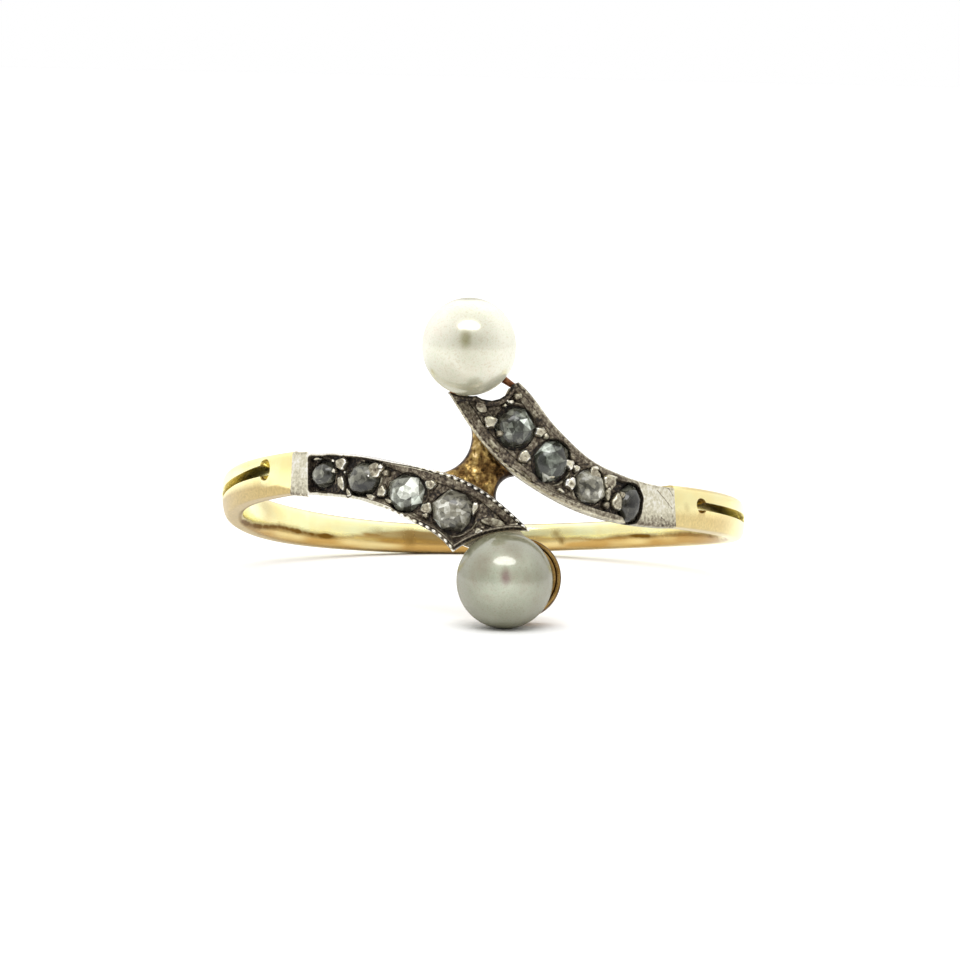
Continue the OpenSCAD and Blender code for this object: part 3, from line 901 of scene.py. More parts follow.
def webSolid():
    # ruled between two hollow arcs, with a rounded section between them
    u = np.linspace(0, 1, web["steps"])[:, None]
    v = np.linspace(0, 1, web["across"])[None, :]

    def arcOf(x, z, radius, start, end):
        # part of a circle
        turn = np.radians(start + (end - start) * u)
        return np.stack([x + radius * np.cos(turn), z + radius * np.sin(turn)], -1)

    place = arcOf(*web["leftArc"]) * (1 - v[..., None]) + arcOf(*web["rightArc"]) * v[..., None]
    x, z = place[..., 0], place[..., 1]
    crown = np.clip(1 - np.abs(2 * v - 1) ** 3.2, 0, 1) ** 0.5 + 0 * u
    coarse, fine = web["castDepth"]
    rough = coarse * lattice(x * 5, z * 4, 3) + fine * lattice(x * 12, z * 9, 5)
    outer = web["middle"] + (web["crown"] + rough) * crown
    inner = web["middle"] - web["under"] * crown
    gap = np.linalg.norm(place[:, -1:] - place[:, :1], axis=-1)
    border = 1 - eased(np.minimum(v, 1 - v) * gap, 0.02, 0.14)
    # darker along both borders; the patches add darker places and a painted highlight
    grimeAndPaintedLight = web["grimeAndPaintedLight"] + web["borderDarkening"] * border + 0.15 * lattice(x * 4, z * 2.5, 9)
    for cx, cz, size, darker in web["patches"]:
        grimeAndPaintedLight = grimeAndPaintedLight + darker * bump(np.hypot(x - cx, z - cz), 0, size)
    angle = np.arcsin(x / 9.5) * ring["frontRadius"]
    solid = reliefSolid(wrap(angle, outer, z), wrap(angle, inner, z))
    return solid, np.clip(np.concatenate([grimeAndPaintedLight.ravel(), grimeAndPaintedLight.ravel()]), 0, 1.2)


def tubeAlong(path, radii, sides=20):
    # a round section carried along a path, square to its direction
    path = np.asarray(path, float)
    ahead = np.gradient(path, axis=0)
    ahead /= np.linalg.norm(ahead, axis=1)[:, None]
    across = np.cross(ahead, [0.0, 1.0, 0.0])
    across /= np.linalg.norm(across, axis=1)[:, None]
    other = np.cross(ahead, across)
    a = np.linspace(0, 2 * math.pi, sides, endpoint=False)
    ringOf = np.cos(a)[None, :, None] * across[:, None, :] + np.sin(a)[None, :, None] * other[:, None, :]
    return sweptSolid(path[:, None, :] + np.asarray(radii)[:, None, None] * ringOf)


def makeArms():
    # the gold behind both arms, and the web that joins them
    addPiece("leftArmGold", armBacking(leftArm, None), backingGold, ["shank"], 50)
    addPiece("rightArmGold", armBacking(rightArm, arms["topScallop"]), backingGold, ["shank"], 50)
    solid, grimeAndPaintedLight = webSolid()
    addPiece("centreWeb", solid, roughGold, ["shank"], 60, tones={"grimeAndPaintedLight": grimeAndPaintedLight})


makeArms()
print("arms made")


pearls = {
    # shadow: how deep the painted shade is across the middle of its front, or round it where the middle is pale;
    # on the top pearl that dark middle is a painted reflection. reach: how wide that middle is; foot and rim: how deep
    # the painted shade is below, and round the sides and behind; lean: how much the foot's shade climbs to the right;
    # last, a small darker oval on the front, a painted reflection: its place from the middle, its half width and height
    "top": {
        "centre": (-0.40, -10.6, 4.36), "radius": 1.575, "tall": 1.04, "seed": 1.3,
        "shadow": 0.72, "reach": 0.78, "pale": False, "foot": 0.88, "lean": -0.25, "rim": 0.9,
        "paintedReflection": (-0.12, 0.02, 0.23, 0.42),
    },
    "bottom": {
        "centre": (0.665, -10.6, -3.48), "radius": 1.605, "tall": 1.0, "seed": 2.9,
        "shadow": 0.95, "reach": 0.62, "pale": True, "foot": 0.80, "lean": 0.2, "rim": 1.0,
        "paintedReflection": (0.03, -0.05, 0.22, 0.33),
    },
    # Between which places each painted shade fades, in radii from the pearl's middle: the foot's downwards, the
    # front's forwards, the sides' forwards and upwards. The painted reflection's oval fades in its own half widths.
    "footFade": (0.1, 1.05),
    "frontFade": (-0.1, 0.4),
    "rimFade": (-0.5, 0.30),
    "capFade": (0.5, 0.85),
    "reflectionFade": (0.15, 1.2),
    "forward": (0, 0.993, 0.117),      # the direction that counts as forward, a little up
    "clouds": 0.12,            # how uneven the tones' borders are
    "unevenness": 0.006,       # how far the radius swings, as a share of it
    "cupGap": 0.01,            # between a pearl and its cup
    "cutRings": 60,            # of the ball that hollows the cup
    "cutSides": 96,
}


def ballSolid(pearl, extra=0.0, rings=100, sides=180):
    # a sphere whose radius swells and sinks a little with a few slow waves
    polar = np.linspace(0, math.pi, rings)[:, None]
    turn = np.linspace(0, 2 * math.pi, sides, endpoint=False)[None, :]
    way = np.stack([np.sin(polar) * np.cos(turn), -np.cos(polar) + 0 * turn, np.sin(polar) * np.sin(turn)], -1)
    seed = pearl["seed"]
    wave = np.sin(2.1 * way[..., 0] + seed) + np.sin(2.7 * way[..., 2] + 2 * seed) + np.sin(1.9 * way[..., 1] - seed)
    size = pearl["radius"] * (1 - pearls["unevenness"] * (1 + wave / 3) / 2) + extra
    return roundSolid(np.asarray(pearl["centre"]) + size[..., None] * way * np.array([1, 1, pearl["tall"]]))


def shadeAndReflectionTone(points, pearl):
    # painted shade, the deepest of three: the foot's, the front's or the ring's round it, and the sides' and back's
    # the top pearl's darker front middle is a painted reflection, the bottom one's darker ring round it painted shade
    aside, behind, above = ((points - pearl["centre"]) / pearl["radius"]).T
    clouds = pearls["clouds"] * lattice(points[:, 0] * 2, points[:, 2] * 2, pearl["seed"])
    paintedShadeAndReflection = pearl["foot"] * eased(pearl["lean"] * aside - above + clouds, *pearls["footFade"])
    front = bump(np.hypot(aside - 0.02, (above + 0.12) * 0.9) + clouds, 0, pearl["reach"])
    front = eased(-behind, *pearls["frontFade"]) * front
    paintedShadeAndReflection = np.maximum(paintedShadeAndReflection, pearl["shadow"] * (1 - front if pearl["pale"] else front))
    forward = -(points - pearl["centre"]) @ np.array(pearls["forward"]) / pearl["radius"]
    around = pearl["rim"] * (1 - eased(forward, *pearls["rimFade"])) * (1 - eased(above, *pearls["capFade"]))
    return np.maximum(paintedShadeAndReflection, around)


def paintedReflectionTone(points, pearl):
    # a painted reflection: 1 inside an oval on the front, easing to 0 round it
    across, before, up = (points - pearl["centre"]).T
    x, z, wide, tall = pearl["paintedReflection"]
    away = np.hypot((across - x) / wide, (up - z) / tall)
    return (before < 0) * (1 - eased(away, *pearls["reflectionFade"]))


def turnedSolid(place, profile, sides=120):
    # a profile of radius, distance from the finger's middle and grime, turned about a line square to the front
    profile = np.asarray(profile, float)
    turn = np.linspace(0, 2 * math.pi, sides, endpoint=False)
    r, out, grimeAndPaintedLight = profile[:, :1], profile[:, 1:2], profile[:, 2]
    x = place[0] + r * np.cos(turn)
    z = place[1] + r * np.sin(turn)
    solid = roundSolid(np.stack([x, -out + 0 * x, z], -1))
    return solid, np.concatenate([np.repeat(grimeAndPaintedLight[1:-1], sides), grimeAndPaintedLight[[0, -1]]])


cups = {
    "top": {
        "place": (-0.28, 4.25),
        "profile": [
            (0, 8.75, 0.4), (0.9, 8.75, 0.4), (1.0, 8.80, 0.3), (1.06, 8.95, 0.2), (1.08, 9.3, 0.2), (1.10, 9.6, 0.3),
            (1.08, 9.72, 0.4), (1.0, 9.75, 0.8), (0, 9.75, 0.9),
        ],
    },
    "bottom": {
        "place": (1.22, -3.35),
        "profile": [
            (0, 8.75, 0.3), (1.04, 8.75, 0.3), (1.16, 8.79, 0.2), (1.25, 8.9, 0.15), (1.27, 9.2, 0.2),
            (1.28, 9.55, 0.3), (1.31, 9.60, 0.3), (1.33, 9.68, 0.35), (1.32, 9.78, 0.6), (1.29, 9.82, 0.9),
            (1.29, 9.87, 0.9), (1.33, 9.91, 0.6), (1.33, 10.06, 0.75), (1.31, 10.13, 0.7), (1.26, 10.165, 0.3),
            (1.20, 10.17, 0.2), (1.18, 10.12, 0.95), (1.155, 10.12, 0.95), (1.14, 10.19, 0.2), (1.09, 10.2, 0.1),
            (1.04, 10.2, 0.5), (0, 10.2, 0.9),
        ],
    },
}


def makePearls():
    # two balls of nacre with their painted shade and painted reflection on their points
    for name, material in (("top", ivoryNacre), ("bottom", silverNacre)):
        pearl = pearls[name]
        solid = ballSolid(pearl)
        tones = {"paintedShadeAndReflection": shadeAndReflectionTone(solid[0], pearl), "paintedReflection": paintedReflectionTone(solid[0], pearl)}
        addPiece(f"{name}Pearl", solid, material, [f"pearl_{name}"], 60, tones=tones)


def makeCups():
    # each cup less its pearl, with a hair's gap and grime in the hollow
    for name, cup in cups.items():
        solid, grimeAndPaintedLight = turnedSolid(cup["place"], cup["profile"])
        piece = addPiece(f"{name}Cup", solid, cupGold, ["shank"], 30, tones={"grimeAndPaintedLight": grimeAndPaintedLight})
        tool = ballSolid(pearls[name], pearls["cupGap"], pearls["cutRings"], pearls["cutSides"])
        cutAway(piece, tool, {"grimeAndPaintedLight": np.full(len(tool[0]), 0.9)})


struts = {
    # ends: across and up; half thickness of the wire, and what its foot and head add
    "rightStrut": {"from": (1.24, 3.06), "to": (0.4, 3.66), "thin": 0.07, "foot": 0.05, "head": 0.10},
    "leftStrut": {"from": (-1.0, 2.9), "to": (-0.55, 3.75), "thin": 0.10, "foot": 0.05, "head": 0.06},
    "steps": 30,
    "before": 9.32,            # distance before the finger's middle, and how much further half way up
    "bow": 0.05,
}


def makeStruts():
    # a straight wire, thicker towards its foot and its head
    share = np.linspace(0, 1, struts["steps"])
    for name in ("rightStrut", "leftStrut"):
        strut = struts[name]
        (x0, z0), (x1, z1) = strut["from"], strut["to"]
        out = -struts["before"] - struts["bow"] * np.sin(share * math.pi)
        path = np.stack([x0 + (x1 - x0) * share, out, z0 + (z1 - z0) * share], -1)
        radii = strut["thin"] + strut["foot"] * (1 - share) ** 6 + strut["head"] * share
        solid = tubeAlong(path, radii)
        grimeAndPaintedLight = 0.35 + 0.2 * lattice(solid[0][:, 0] * 6, solid[0][:, 2] * 6, 2)
        addPiece(name, solid, shadedStrutGold, ["shank"], 60, tones={"grimeAndPaintedLight": grimeAndPaintedLight})


makePearls()
makeCups()
makeStruts()
print("pearls, cups and struts made")


# Each stone: along, up, wide, high and turn, from the shoulder to the pearl. Then the depth of its tone (0 black to
# 1 white), its warmth, and lighter or darker places on it, painted highlights and reflections on its facets: across,
# up and size as shares of its half width, change of tone, change of warmth.
leftStones = [
    {"place": (-6.16, 0.50, 1.06, 0.98, 8), "tone": 0.34, "warmth": 0.7, "spots": [
        (-0.6, 0.0, 0.5, 0.10, 0), (0.0, 0.0, 0.16, 0.03, 0), (0.7, 0.0, 0.45, -0.12, 0), (0.1, 0.85, 0.3, -0.16, 0),
    ]},
    {"place": (-4.30, 0.20, 1.24, 1.14, 20), "tone": 0.33, "warmth": 0.8, "spots": [
        (-0.4, 0.4, 0.5, 0.10, 0), (0.2, 0.2, 0.35, 0.06, 0), (-0.3, -0.75, 0.55, -0.36, 0),
        (0.6, -0.6, 0.4, -0.14, -0.2),
    ]},
    {"place": (-2.60, -0.38, 1.33, 1.30, 5), "tone": 0.48, "warmth": 0.55, "spots": [
        (0.32, 0.28, 0.36, 0.95, 0.3), (-0.65, 0.5, 0.4, -0.06, 0), (-0.3, -0.2, 0.35, 0.08, -0.3),
        (0.55, -0.5, 0.26, 0.42, -0.4), (0.85, 0.3, 0.25, -0.3, 0), (0.15, -0.65, 0.2, -0.25, 0),
        (-0.3, -0.85, 0.3, -0.15, 0), (0.0, 0.9, 0.25, -0.3, 0),
    ]},
    {"place": (-1.00, -1.10, 1.44, 1.44, 15), "tone": 0.47, "warmth": 0.95, "spots": [
        (0.15, 0.0, 0.4, 0.10, 0.2), (-0.75, -0.25, 0.2, 0.30, -0.6), (-0.4, 0.5, 0.22, 0.22, 0),
        (-0.15, -0.7, 0.3, -0.3, 0), (0.4, -0.8, 0.28, 0.10, 0), (0.1, 0.85, 0.35, -0.06, 0), (0.8, 0.25, 0.3, -0.2, 0),
    ]},
]
rightStones = [
    {"place": (5.48, -0.70, 0.96, 1.36, -8), "tone": 0.16, "warmth": 0.8, "spots": [
        (-0.3, 0.8, 0.5, 0.12, -0.2), (0.5, 0.2, 0.4, -0.10, 0), (0.0, -0.7, 0.5, -0.02, 0.2),
    ]},
    {"place": (3.78, -0.20, 1.18, 1.18, 15), "tone": 0.54, "warmth": 0.95, "spots": [
        (0.5, 0.55, 0.35, 0.08, 0), (0.2, 0.1, 0.3, -0.08, 0), (-0.6, 0.3, 0.4, -0.1, 0), (-0.1, -0.7, 0.4, 0.03, 0),
    ]},
    {"place": (2.31, 0.60, 1.30, 1.44, -20), "tone": 0.29, "warmth": 0.15, "spots": [
        (-0.55, 0.55, 0.40, 0.58, 0), (0.1, -0.1, 0.4, 0.03, 0), (0.6, 0.55, 0.45, -0.08, 0.7),
        (0.0, -0.85, 0.25, 0.25, 0.6),
    ]},
    {"place": (1.07, 1.71, 1.30, 1.44, 10), "tone": 0.27, "warmth": 0.4, "spots": [
        (0.62, 0.2, 0.36, 0.62, -0.3), (0.05, 0.25, 0.25, 0.2, -0.3), (-0.5, -0.25, 0.26, 0.30, 0),
        (0.1, -0.75, 0.4, -0.08, 0.3), (-0.4, 0.6, 0.4, -0.06, 0.5),
    ]},
]

channels = {
    "steps": 620,
    "across": 133,
    "coarse": 11,              # the underside keeps one column in this many
    "depth": 0.26,             # of the floor, and of the foot of the slopes, under the rims
    "slopeDepth": 0.15,
    "seatDepth": 0.07,         # of a stone's seat under the floor
    "moat": 0.045,             # how wide the seat shows round a stone
    "corner": 0.16,            # radius of the floor's corners at the collar
    "lipWidth": 0.17,          # of the plain edge along the scallop
    "beadPitch": 0.25,         # milgrain: distance between beads, half length and width, and distance from the edge
    "beadLong": 0.095,
    "beadWide": 0.052,
    "beadInset": 0.072,
    "beadHeight": 0.055,       # over the rim, and how deep the gaps between beads are
    "beadGap": 0.04,
    "edgeDrop": 0.05,          # how far the outer edges and the scallop's edge are rubbed down
    "grooveDepth": 0.03,
    "floorUneven": 0.03,
    "scratchDepth": 0.02,
    "leafDepth": 0.12,         # of a leaf's top under the rims
    "lipHeight": 0.08,         # of the metal pushed up round a seat
    "grainScale": 1.14,
    "grainFoot": 0.24,         # depth of a grain's foot, its height over that, and the depth of its dot
    "grainHeight": 0.25,
    "dotDepth": 0.08,
}

# tones that both channels share, from 0, rubbed bright, to 1, a crevice
metalTones = {
    "black": 0.93,             # of the floor where it has turned black
    "streaks": 0.20,           # how far the slopes are streaked
    "groove": 0.9,
    "matt": 0.22,              # of the collar
    "collarEdge": 0.10,        # how much lighter its end is
    "scratch": 0.5,            # how much darker a scratch is
    "beadGap": 0.97,
    "leaf": 0.58,
    "leafLight": 0.3,          # how much lighter the lightest leaf is
    "leafEdge": 0.8,
    "seat": 0.95,
    "seatLip": 0.34,           # how much lighter the metal pushed up round a seat is
    "grain": 0.60,
    "grainLight": 0.42,        # how much lighter the lightest grain is
    "grainGap": 0.95,
    "dot": 0.5,                # how much darker a punched dot is
}

# Grains: along, up, half length, half width, turn, lightness, and how much of a dark dot the punch left.
# Leaves: along, up, half length, half width, turn, lightness. Widens: how far from the shoulder each rim starts to
# widen and is wide. Rims, slopes and beads: distance along the front and the width, or how strongly they show, there.
# BlackFrom: where the floor starts to turn black and is black. Lip: tones of the scallop's edge, of the line inside it
# and of the groove inside that. Scratches: two ends and a width.
armFinish = {
    "left": {
        "grains": [
            (-5.24, 0.81, 0.25, 0.19, 8, 0.45, 0), (-5.57, 0.92, 0.07, 0.06, 0, 0.9, 0),
            (-5.56, 0.57, 0.08, 0.08, 0, 0.8, 0), (-5.02, 0.48, 0.05, 0.05, 0, 1.0, 0),
            (-5.23, 0.14, 0.15, 0.25, 22, 0.5, 0), (-4.87, -0.22, 0.09, 0.15, 35, 0.5, 0),
            # the two small grains of lightness 1.1 are painted glints
            (-3.77, 0.48, 0.28, 0.25, 0, 0.4, 0.5), (-3.54, 0.58, 0.07, 0.08, 0, 1.1, 0),
            (-4.04, 0.27, 0.08, 0.06, 30, 1.1, 0), (-3.51, -0.28, 0.17, 0.18, 0, 0.5, 0.3),
            (-3.95, -0.42, 0.19, 0.08, -20, 0.45, 0), (-3.24, -0.62, 0.15, 0.07, -25, 0.5, 0),
            (-1.74, -0.15, 0.18, 0.16, 0, 0.6, 0.6), (-1.89, -0.95, 0.18, 0.19, 0, 0.45, 0.3),
            (-1.92, -1.20, 0.11, 0.07, -20, 0.5, 0), (-0.28, -0.98, 0.10, 0.22, -14, 0.9, 0),
            (-3.36, 0.34, 0.12, 0.10, 0, 0.3, 0), (-6.36, 1.05, 0.17, 0.05, 0, 0.7, 0),
            (-0.18, -1.75, 0.11, 0.09, 0, 0.5, 0),
        ],
        "leaves": [(0.30, -1.47, 0.44, 0.15, -10, 0.6), (-0.1, -2.3, 0.42, 0.07, 38, 0.5)],
        "upperWidens": (1.9, 3.4), "lowerWidens": (2.4, 4.2),
        "upperBeads": [(0.9, 1), (1.5, 0.8), (2.2, 0.15), (3.0, 0)],
        "lowerBeads": [(1.9, 1), (2.6, 0.55), (3.4, 0.15), (4.2, 0)],
        "upperRim": [(0, 0.10), (2.3, 0.12), (3.1, 0.16), (6.7, 0.15)],
        "upperSlope": [(0, 0.20), (1.0, 0.26), (2.6, 0.27), (3.2, 0.12), (3.7, 0)],
        "lowerRim": [(0, 0.12), (2.0, 0.15), (3.5, 0.20), (5.0, 0.15), (6.7, 0.14)],
        "lowerSlope": [(0, 0.10), (3.4, 0.10), (4.8, 0.02)],
        "upperTone": 0.0, "lowerTone": 0.17, "slopeTone": 0.66, "floorTone": 0.74, "blackFrom": (4.1, 4.8),
        "collarShade": 0.14, "wallTone": 0.28, "lip": (0.85, 0.45, 0.9), "rubbed": 0.2, "edgeHighlight": 0.42, "seed": 11,
        "scratches": [],
    },
    "right": {
        "grains": [
            (0.28, 1.91, 0.21, 0.20, -30, 0.65, 0), (1.93, 1.56, 0.20, 0.15, -15, 0.7, 0.4),
            (2.12, 1.42, 0.10, 0.08, 0, 0.5, 0), (1.38, 0.74, 0.20, 0.20, 0, 0.7, 0.4),
            (2.96, 0.52, 0.19, 0.15, -30, 1.0, 0.5), (3.22, 0.39, 0.12, 0.12, 0, 0.9, 0.4),
            (3.00, -0.12, 0.20, 0.20, 0, 1.0, 1.0), (3.93, 0.24, 0.23, 0.19, -40, 0.40, 0),
            (4.56, -0.02, 0.26, 0.24, 0, 0.40, 0.2), (4.47, -0.42, 0.10, 0.20, -8, 0.45, 0),
            (4.88, -0.67, 0.21, 0.27, -15, 0.40, 0.1), (5.10, -0.40, 0.12, 0.09, -30, 0.4, 0.3),
            (4.41, -0.80, 0.12, 0.12, 0, 0.25, 0), (0.57, 1.50, 0.12, 0.10, 0, 0.4, 0),
            (2.32, 0.08, 0.14, 0.07, 10, 0.8, 0), (2.63, -0.38, 0.14, 0.06, -30, 0.8, 0),
            (1.17, 2.75, 0.13, 0.10, 0, 0.4, 0), (0.94, 2.56, 0.12, 0.07, 0, 0.9, 0),
            (0.75, 2.44, 0.07, 0.06, 0, 0.8, 0),
        ],
        "leaves": [
            (-0.02, 2.38, 0.24, 0.16, -40, 0.55), (0.36, 1.10, 0.32, 0.09, -52, 0.5), (1.45, 0.05, 0.3, 0.07, -48, 0.4),
        ],
        "upperWidens": (2.4, 4.2), "lowerWidens": (2.9, 4.6),
        "upperBeads": [(1.0, 0.45), (2.6, 0.3), (4.2, 0)],
        "lowerBeads": [(0.4, 0.4), (1.6, 0.35), (3.4, 0.2), (4.2, 0)],
        "upperRim": [(0, 0.16), (1.2, 0.20), (2.2, 0.24), (4.0, 0.21), (5.2, 0.16)],
        "upperSlope": [(0, 0.14), (2.5, 0.16), (4.0, 0.12), (4.6, 0.02)],
        "lowerRim": [(0, 0.10), (1.5, 0.12), (2.6, 0.20), (4.5, 0.22), (5.6, 0.16)],
        "lowerSlope": [(0, 0.30), (1.4, 0.28), (2.6, 0.14), (4.6, 0.03)],
        "upperTone": 0.58, "lowerTone": 0.50, "slopeTone": 0.66, "floorTone": 0.68, "blackFrom": (3.9, 4.6),
        "collarShade": 0.22, "wallTone": 0.48, "lip": (0.92, 0.72, 0.82), "rubbed": 0.18, "edgeHighlight": 0.28, "seed": 23,
        "scratches": [
            ((6.72, -0.15), (7.10, -0.42), 0.014), ((7.10, -0.42), (7.5, -0.74), 0.012),
            ((7.05, -0.0), (7.34, -0.07), 0.010), ((7.34, -0.07), (7.56, -0.30), 0.010),
            ((6.94, -1.08), (6.96, -1.10), 0.03),
        ],
    },
}


def mouthOf(side, along, up):
    # distance inside the channel from its end at the collar
    if side == "left":
        return along + 6.78
    return 6.0 - 0.7 * np.clip(up + 0.52, -1, 1) ** 2 - along + 0.03 * np.sin(9 * up)


def toLine(x, z, start, end):
    # distance from a straight line between two places
    (x0, z0), (x1, z1) = start, end
    share = np.clip(((x - x0) * (x1 - x0) + (z - z0) * (z1 - z0)) / ((x1 - x0) ** 2 + (z1 - z0) ** 2), 0, 1)
    return np.hypot(x - x0 - share * (x1 - x0), z - z0 - share * (z1 - z0))


def turnedInto(along, up, place):
    # coordinates of a stone, leaf or grain from its own middle, in half widths
    x, z, halfWide, halfHigh, turn = place
    a = math.radians(turn)
    dx, dz = along - x, up - z
    return (dx * math.cos(a) + dz * math.sin(a)) / halfWide, (-dx * math.sin(a) + dz * math.cos(a)) / halfHigh


def armGrid(side, rows, scallop):
    # places over one arm from its collar to its scallop, with their distances from the edges, the mouth and the end
    q = np.linspace(-1, 1, channels["across"])
    q = np.sin(q * math.pi / 2) * 0.45 + q * 0.55          # closer lines at the rims
    t = armLines(rows, q, ring["armReach"], channels["steps"], scallop)
    half = rowsAt(rows, t)[..., 2]
    along, up, row = armSpots(rows, t, q * half)
    crest = crestAt(row[..., 0])
    fine = np.linspace(t[0, 0], len(rows) - 1, 2000)

    def runAt(share):
        # distance travelled at t along a line at a share of the half width
        a, u, _ = armSpots(rows, fine, share * rowsAt(rows, fine)[:, 2])
        return np.interp(t, fine, np.concatenate([[0], np.cumsum(np.hypot(np.diff(a), np.diff(u)))]))

    def noise(scale, number):
        # each number gives another pattern; the larger the scale, the finer it is
        return lattice(along * scale, up * scale, armFinish[side]["seed"] + number)

    down = (-q if side == "left" else q)[None, :]
    return SimpleNamespace(
        along=along, up=up, crest=crest, down=down, upper=down < 0, edge=(1 - np.abs(q)) * half,
        fromStart=runAt(0), rimRun=np.where(q > 0, runAt(1), runAt(-1)), mouth=mouthOf(side, along, up),
        toEnd=fromScallop(scallop, crest * np.sin(along / ring["frontRadius"]), up), noise=noise,
    )


def cutChannel(side, grid, finish):
    # rims left standing, bright-cut slopes that fall from them, and a floor sunk between with dark crevices round it
    along, up, edge, mouth, seed = grid.along, grid.up, grid.edge, grid.mouth, finish["seed"]

    def byPlace(upperKey, lowerKey):
        # a value that follows the distance along the front, above and below the stones
        rows = [np.interp(np.abs(along), *np.transpose(finish[key])) for key in (upperKey, lowerKey)]
        return np.where(grid.upper, *rows)

    wide = np.where(grid.upper, *[eased(grid.fromStart, *finish[key]) for key in ("upperWidens", "lowerWidens")])
    rim = byPlace("upperRim", "lowerRim")
    if side == "right":
        rim = rim * (1 - 0.5 * bump(along, 5.55, 0.35) * (1 - grid.upper))      # the last stone breaks through here
    slope = byPlace("upperSlope", "lowerSlope") * wide
    rimTone = np.where(grid.upper, finish["upperTone"], finish["lowerTone"])
    rimTone = rimTone + 0.10 * lattice(along * 2.2, up * 3, seed + 12)

    ragged = 0.018 * grid.noise(3.5, 0)
    fromRim = edge - rim - slope + ragged
    toLip = grid.toEnd - channels["lipWidth"] + ragged
    corner = channels["corner"]
    rounded = corner - np.hypot(np.clip(corner - fromRim, 0, None), np.clip(corner - mouth, 0, None))
    inside = np.where((fromRim < corner) & (mouth < corner), rounded, np.minimum(fromRim, mouth))
    inside = np.minimum(inside, toLip)
    sunk = eased(inside, 0, 0.05)
    gate = eased(np.minimum(mouth, toLip), -0.02, 0.05)
    cutShare = np.clip((edge - rim) / np.maximum(slope, 0.01), 0, 1) * wide * gate
    groove = bump(edge, rim - 0.012, 0.02) * wide * gate

    height = -channels["slopeDepth"] * cutShare * (1 - sunk) - channels["depth"] * sunk
    height -= channels["edgeDrop"] * (1 - eased(edge, 0, 0.05))
    height -= channels["edgeDrop"] * (1 - eased(grid.toEnd, 0, 0.07))
    height -= channels["grooveDepth"] * groove

    rimTone = rimTone - finish["rubbed"] * bump(edge, 0.02, 0.035)         # rubbed bright along the outer edge
    streaks = lattice(grid.rimRun * 5.5, edge * 2, seed + 5)
    patina = rimTone + 0 * height
    slopeTone = finish["slopeTone"] + metalTones["streaks"] * streaks
    patina = patina + (slopeTone - rimTone) * eased(cutShare, 0.02, 0.15) * (1 - sunk)
    mottled = 0.12 * grid.noise(4, 7) + 0.14 * grid.noise(10, 15)
    floorTone = finish["floorTone"] + mottled
    floorTone = floorTone + (metalTones["black"] - finish["floorTone"]) * eased(np.abs(along), *finish["blackFrom"])
    patina = patina + (floorTone - patina) * sunk
    crevice = bump(inside, 0.025, 0.045 - 0.02 * wide) * (0.85 + 0.35 * grid.noise(2.2, 9))
    patina = np.maximum(patina, np.clip(crevice, 0, 1))
    patina = np.maximum(patina, metalTones["groove"] * groove)
    return height, patina, sunk, rimTone, byPlace("upperBeads", "lowerBeads")


def finishEnds(grid, finish, height, patina):
    # the scallop's edge is brown, then light, then a groove; the collar is matt with a light edge, and scratched
    edge, mouth, toEnd = grid.edge, grid.mouth, grid.toEnd
    lip = 1 - eased(toEnd, 0.15, 0.18)
    inner = eased(edge, 0.03, 0.1)
    edgeTone, middleTone, grooveTone = finish["lip"]
    banded = np.where(toEnd < 0.095, edgeTone + (middleTone - edgeTone) * eased(toEnd, 0.05, 0.095),
                      middleTone + (grooveTone - middleTone) * eased(toEnd, 0.105, 0.15))
    patina = patina * (1 - lip * inner) + lip * inner * banded

    collar = eased(-mouth, 0.0, 0.04)
    matt = metalTones["matt"] + 0.05 * grid.noise(14, 3) + 0.05 * grid.noise(3, 14)
    # painted shade: the collar darker towards its lower side
    matt = matt + finish["collarShade"] * eased(grid.down, 0.1, 0.95)
    matt = matt - metalTones["collarEdge"] * bump(mouth, -0.04, 0.03) + 0.12 * bump(edge, 0.05, 0.05)
    patina = patina * (1 - collar) + matt * collar
    for start, end, width in finish["scratches"]:
        line = bump(toLine(grid.along, grid.up, start, end), 0, width)
        height -= channels["scratchDepth"] * line
        patina += metalTones["scratch"] * line
    return height, patina


def addMilgrain(grid, finish, beaded, rimTone, height, patina):
    # a dome at each pitch along the rim, dark between them on the inner side
    shift = np.mod(grid.rimRun, channels["beadPitch"]) - channels["beadPitch"] / 2
    depth = grid.edge - channels["beadInset"]
    away = np.hypot(shift / channels["beadLong"], depth / channels["beadWide"])
    dome = np.sqrt(np.clip(1 - away**2, 0, 1))
    beadRow = 1 - eased(np.abs(depth), channels["beadWide"] * 0.9, channels["beadWide"] * 1.3)
    worn = 1 + 0.5 * lattice(grid.rimRun * 1.7, 0 * grid.edge, finish["seed"] + 13)
    shown = np.clip(beaded * worn, 0, 1) * eased(grid.toEnd, 0.02, 0.12) * beadRow
    height += shown * (channels["beadHeight"] * dome - channels["beadGap"] * (1 - dome))
    gap = (1 - dome) ** 1.4 * np.clip(eased(depth, -0.045, 0.02) + eased(beaded, 0.6, 0.9), 0, 1)
    patina = patina * (1 - shown) + shown * (rimTone * 0.6 + (metalTones["beadGap"] - rimTone * 0.6) * gap)
    return height, patina


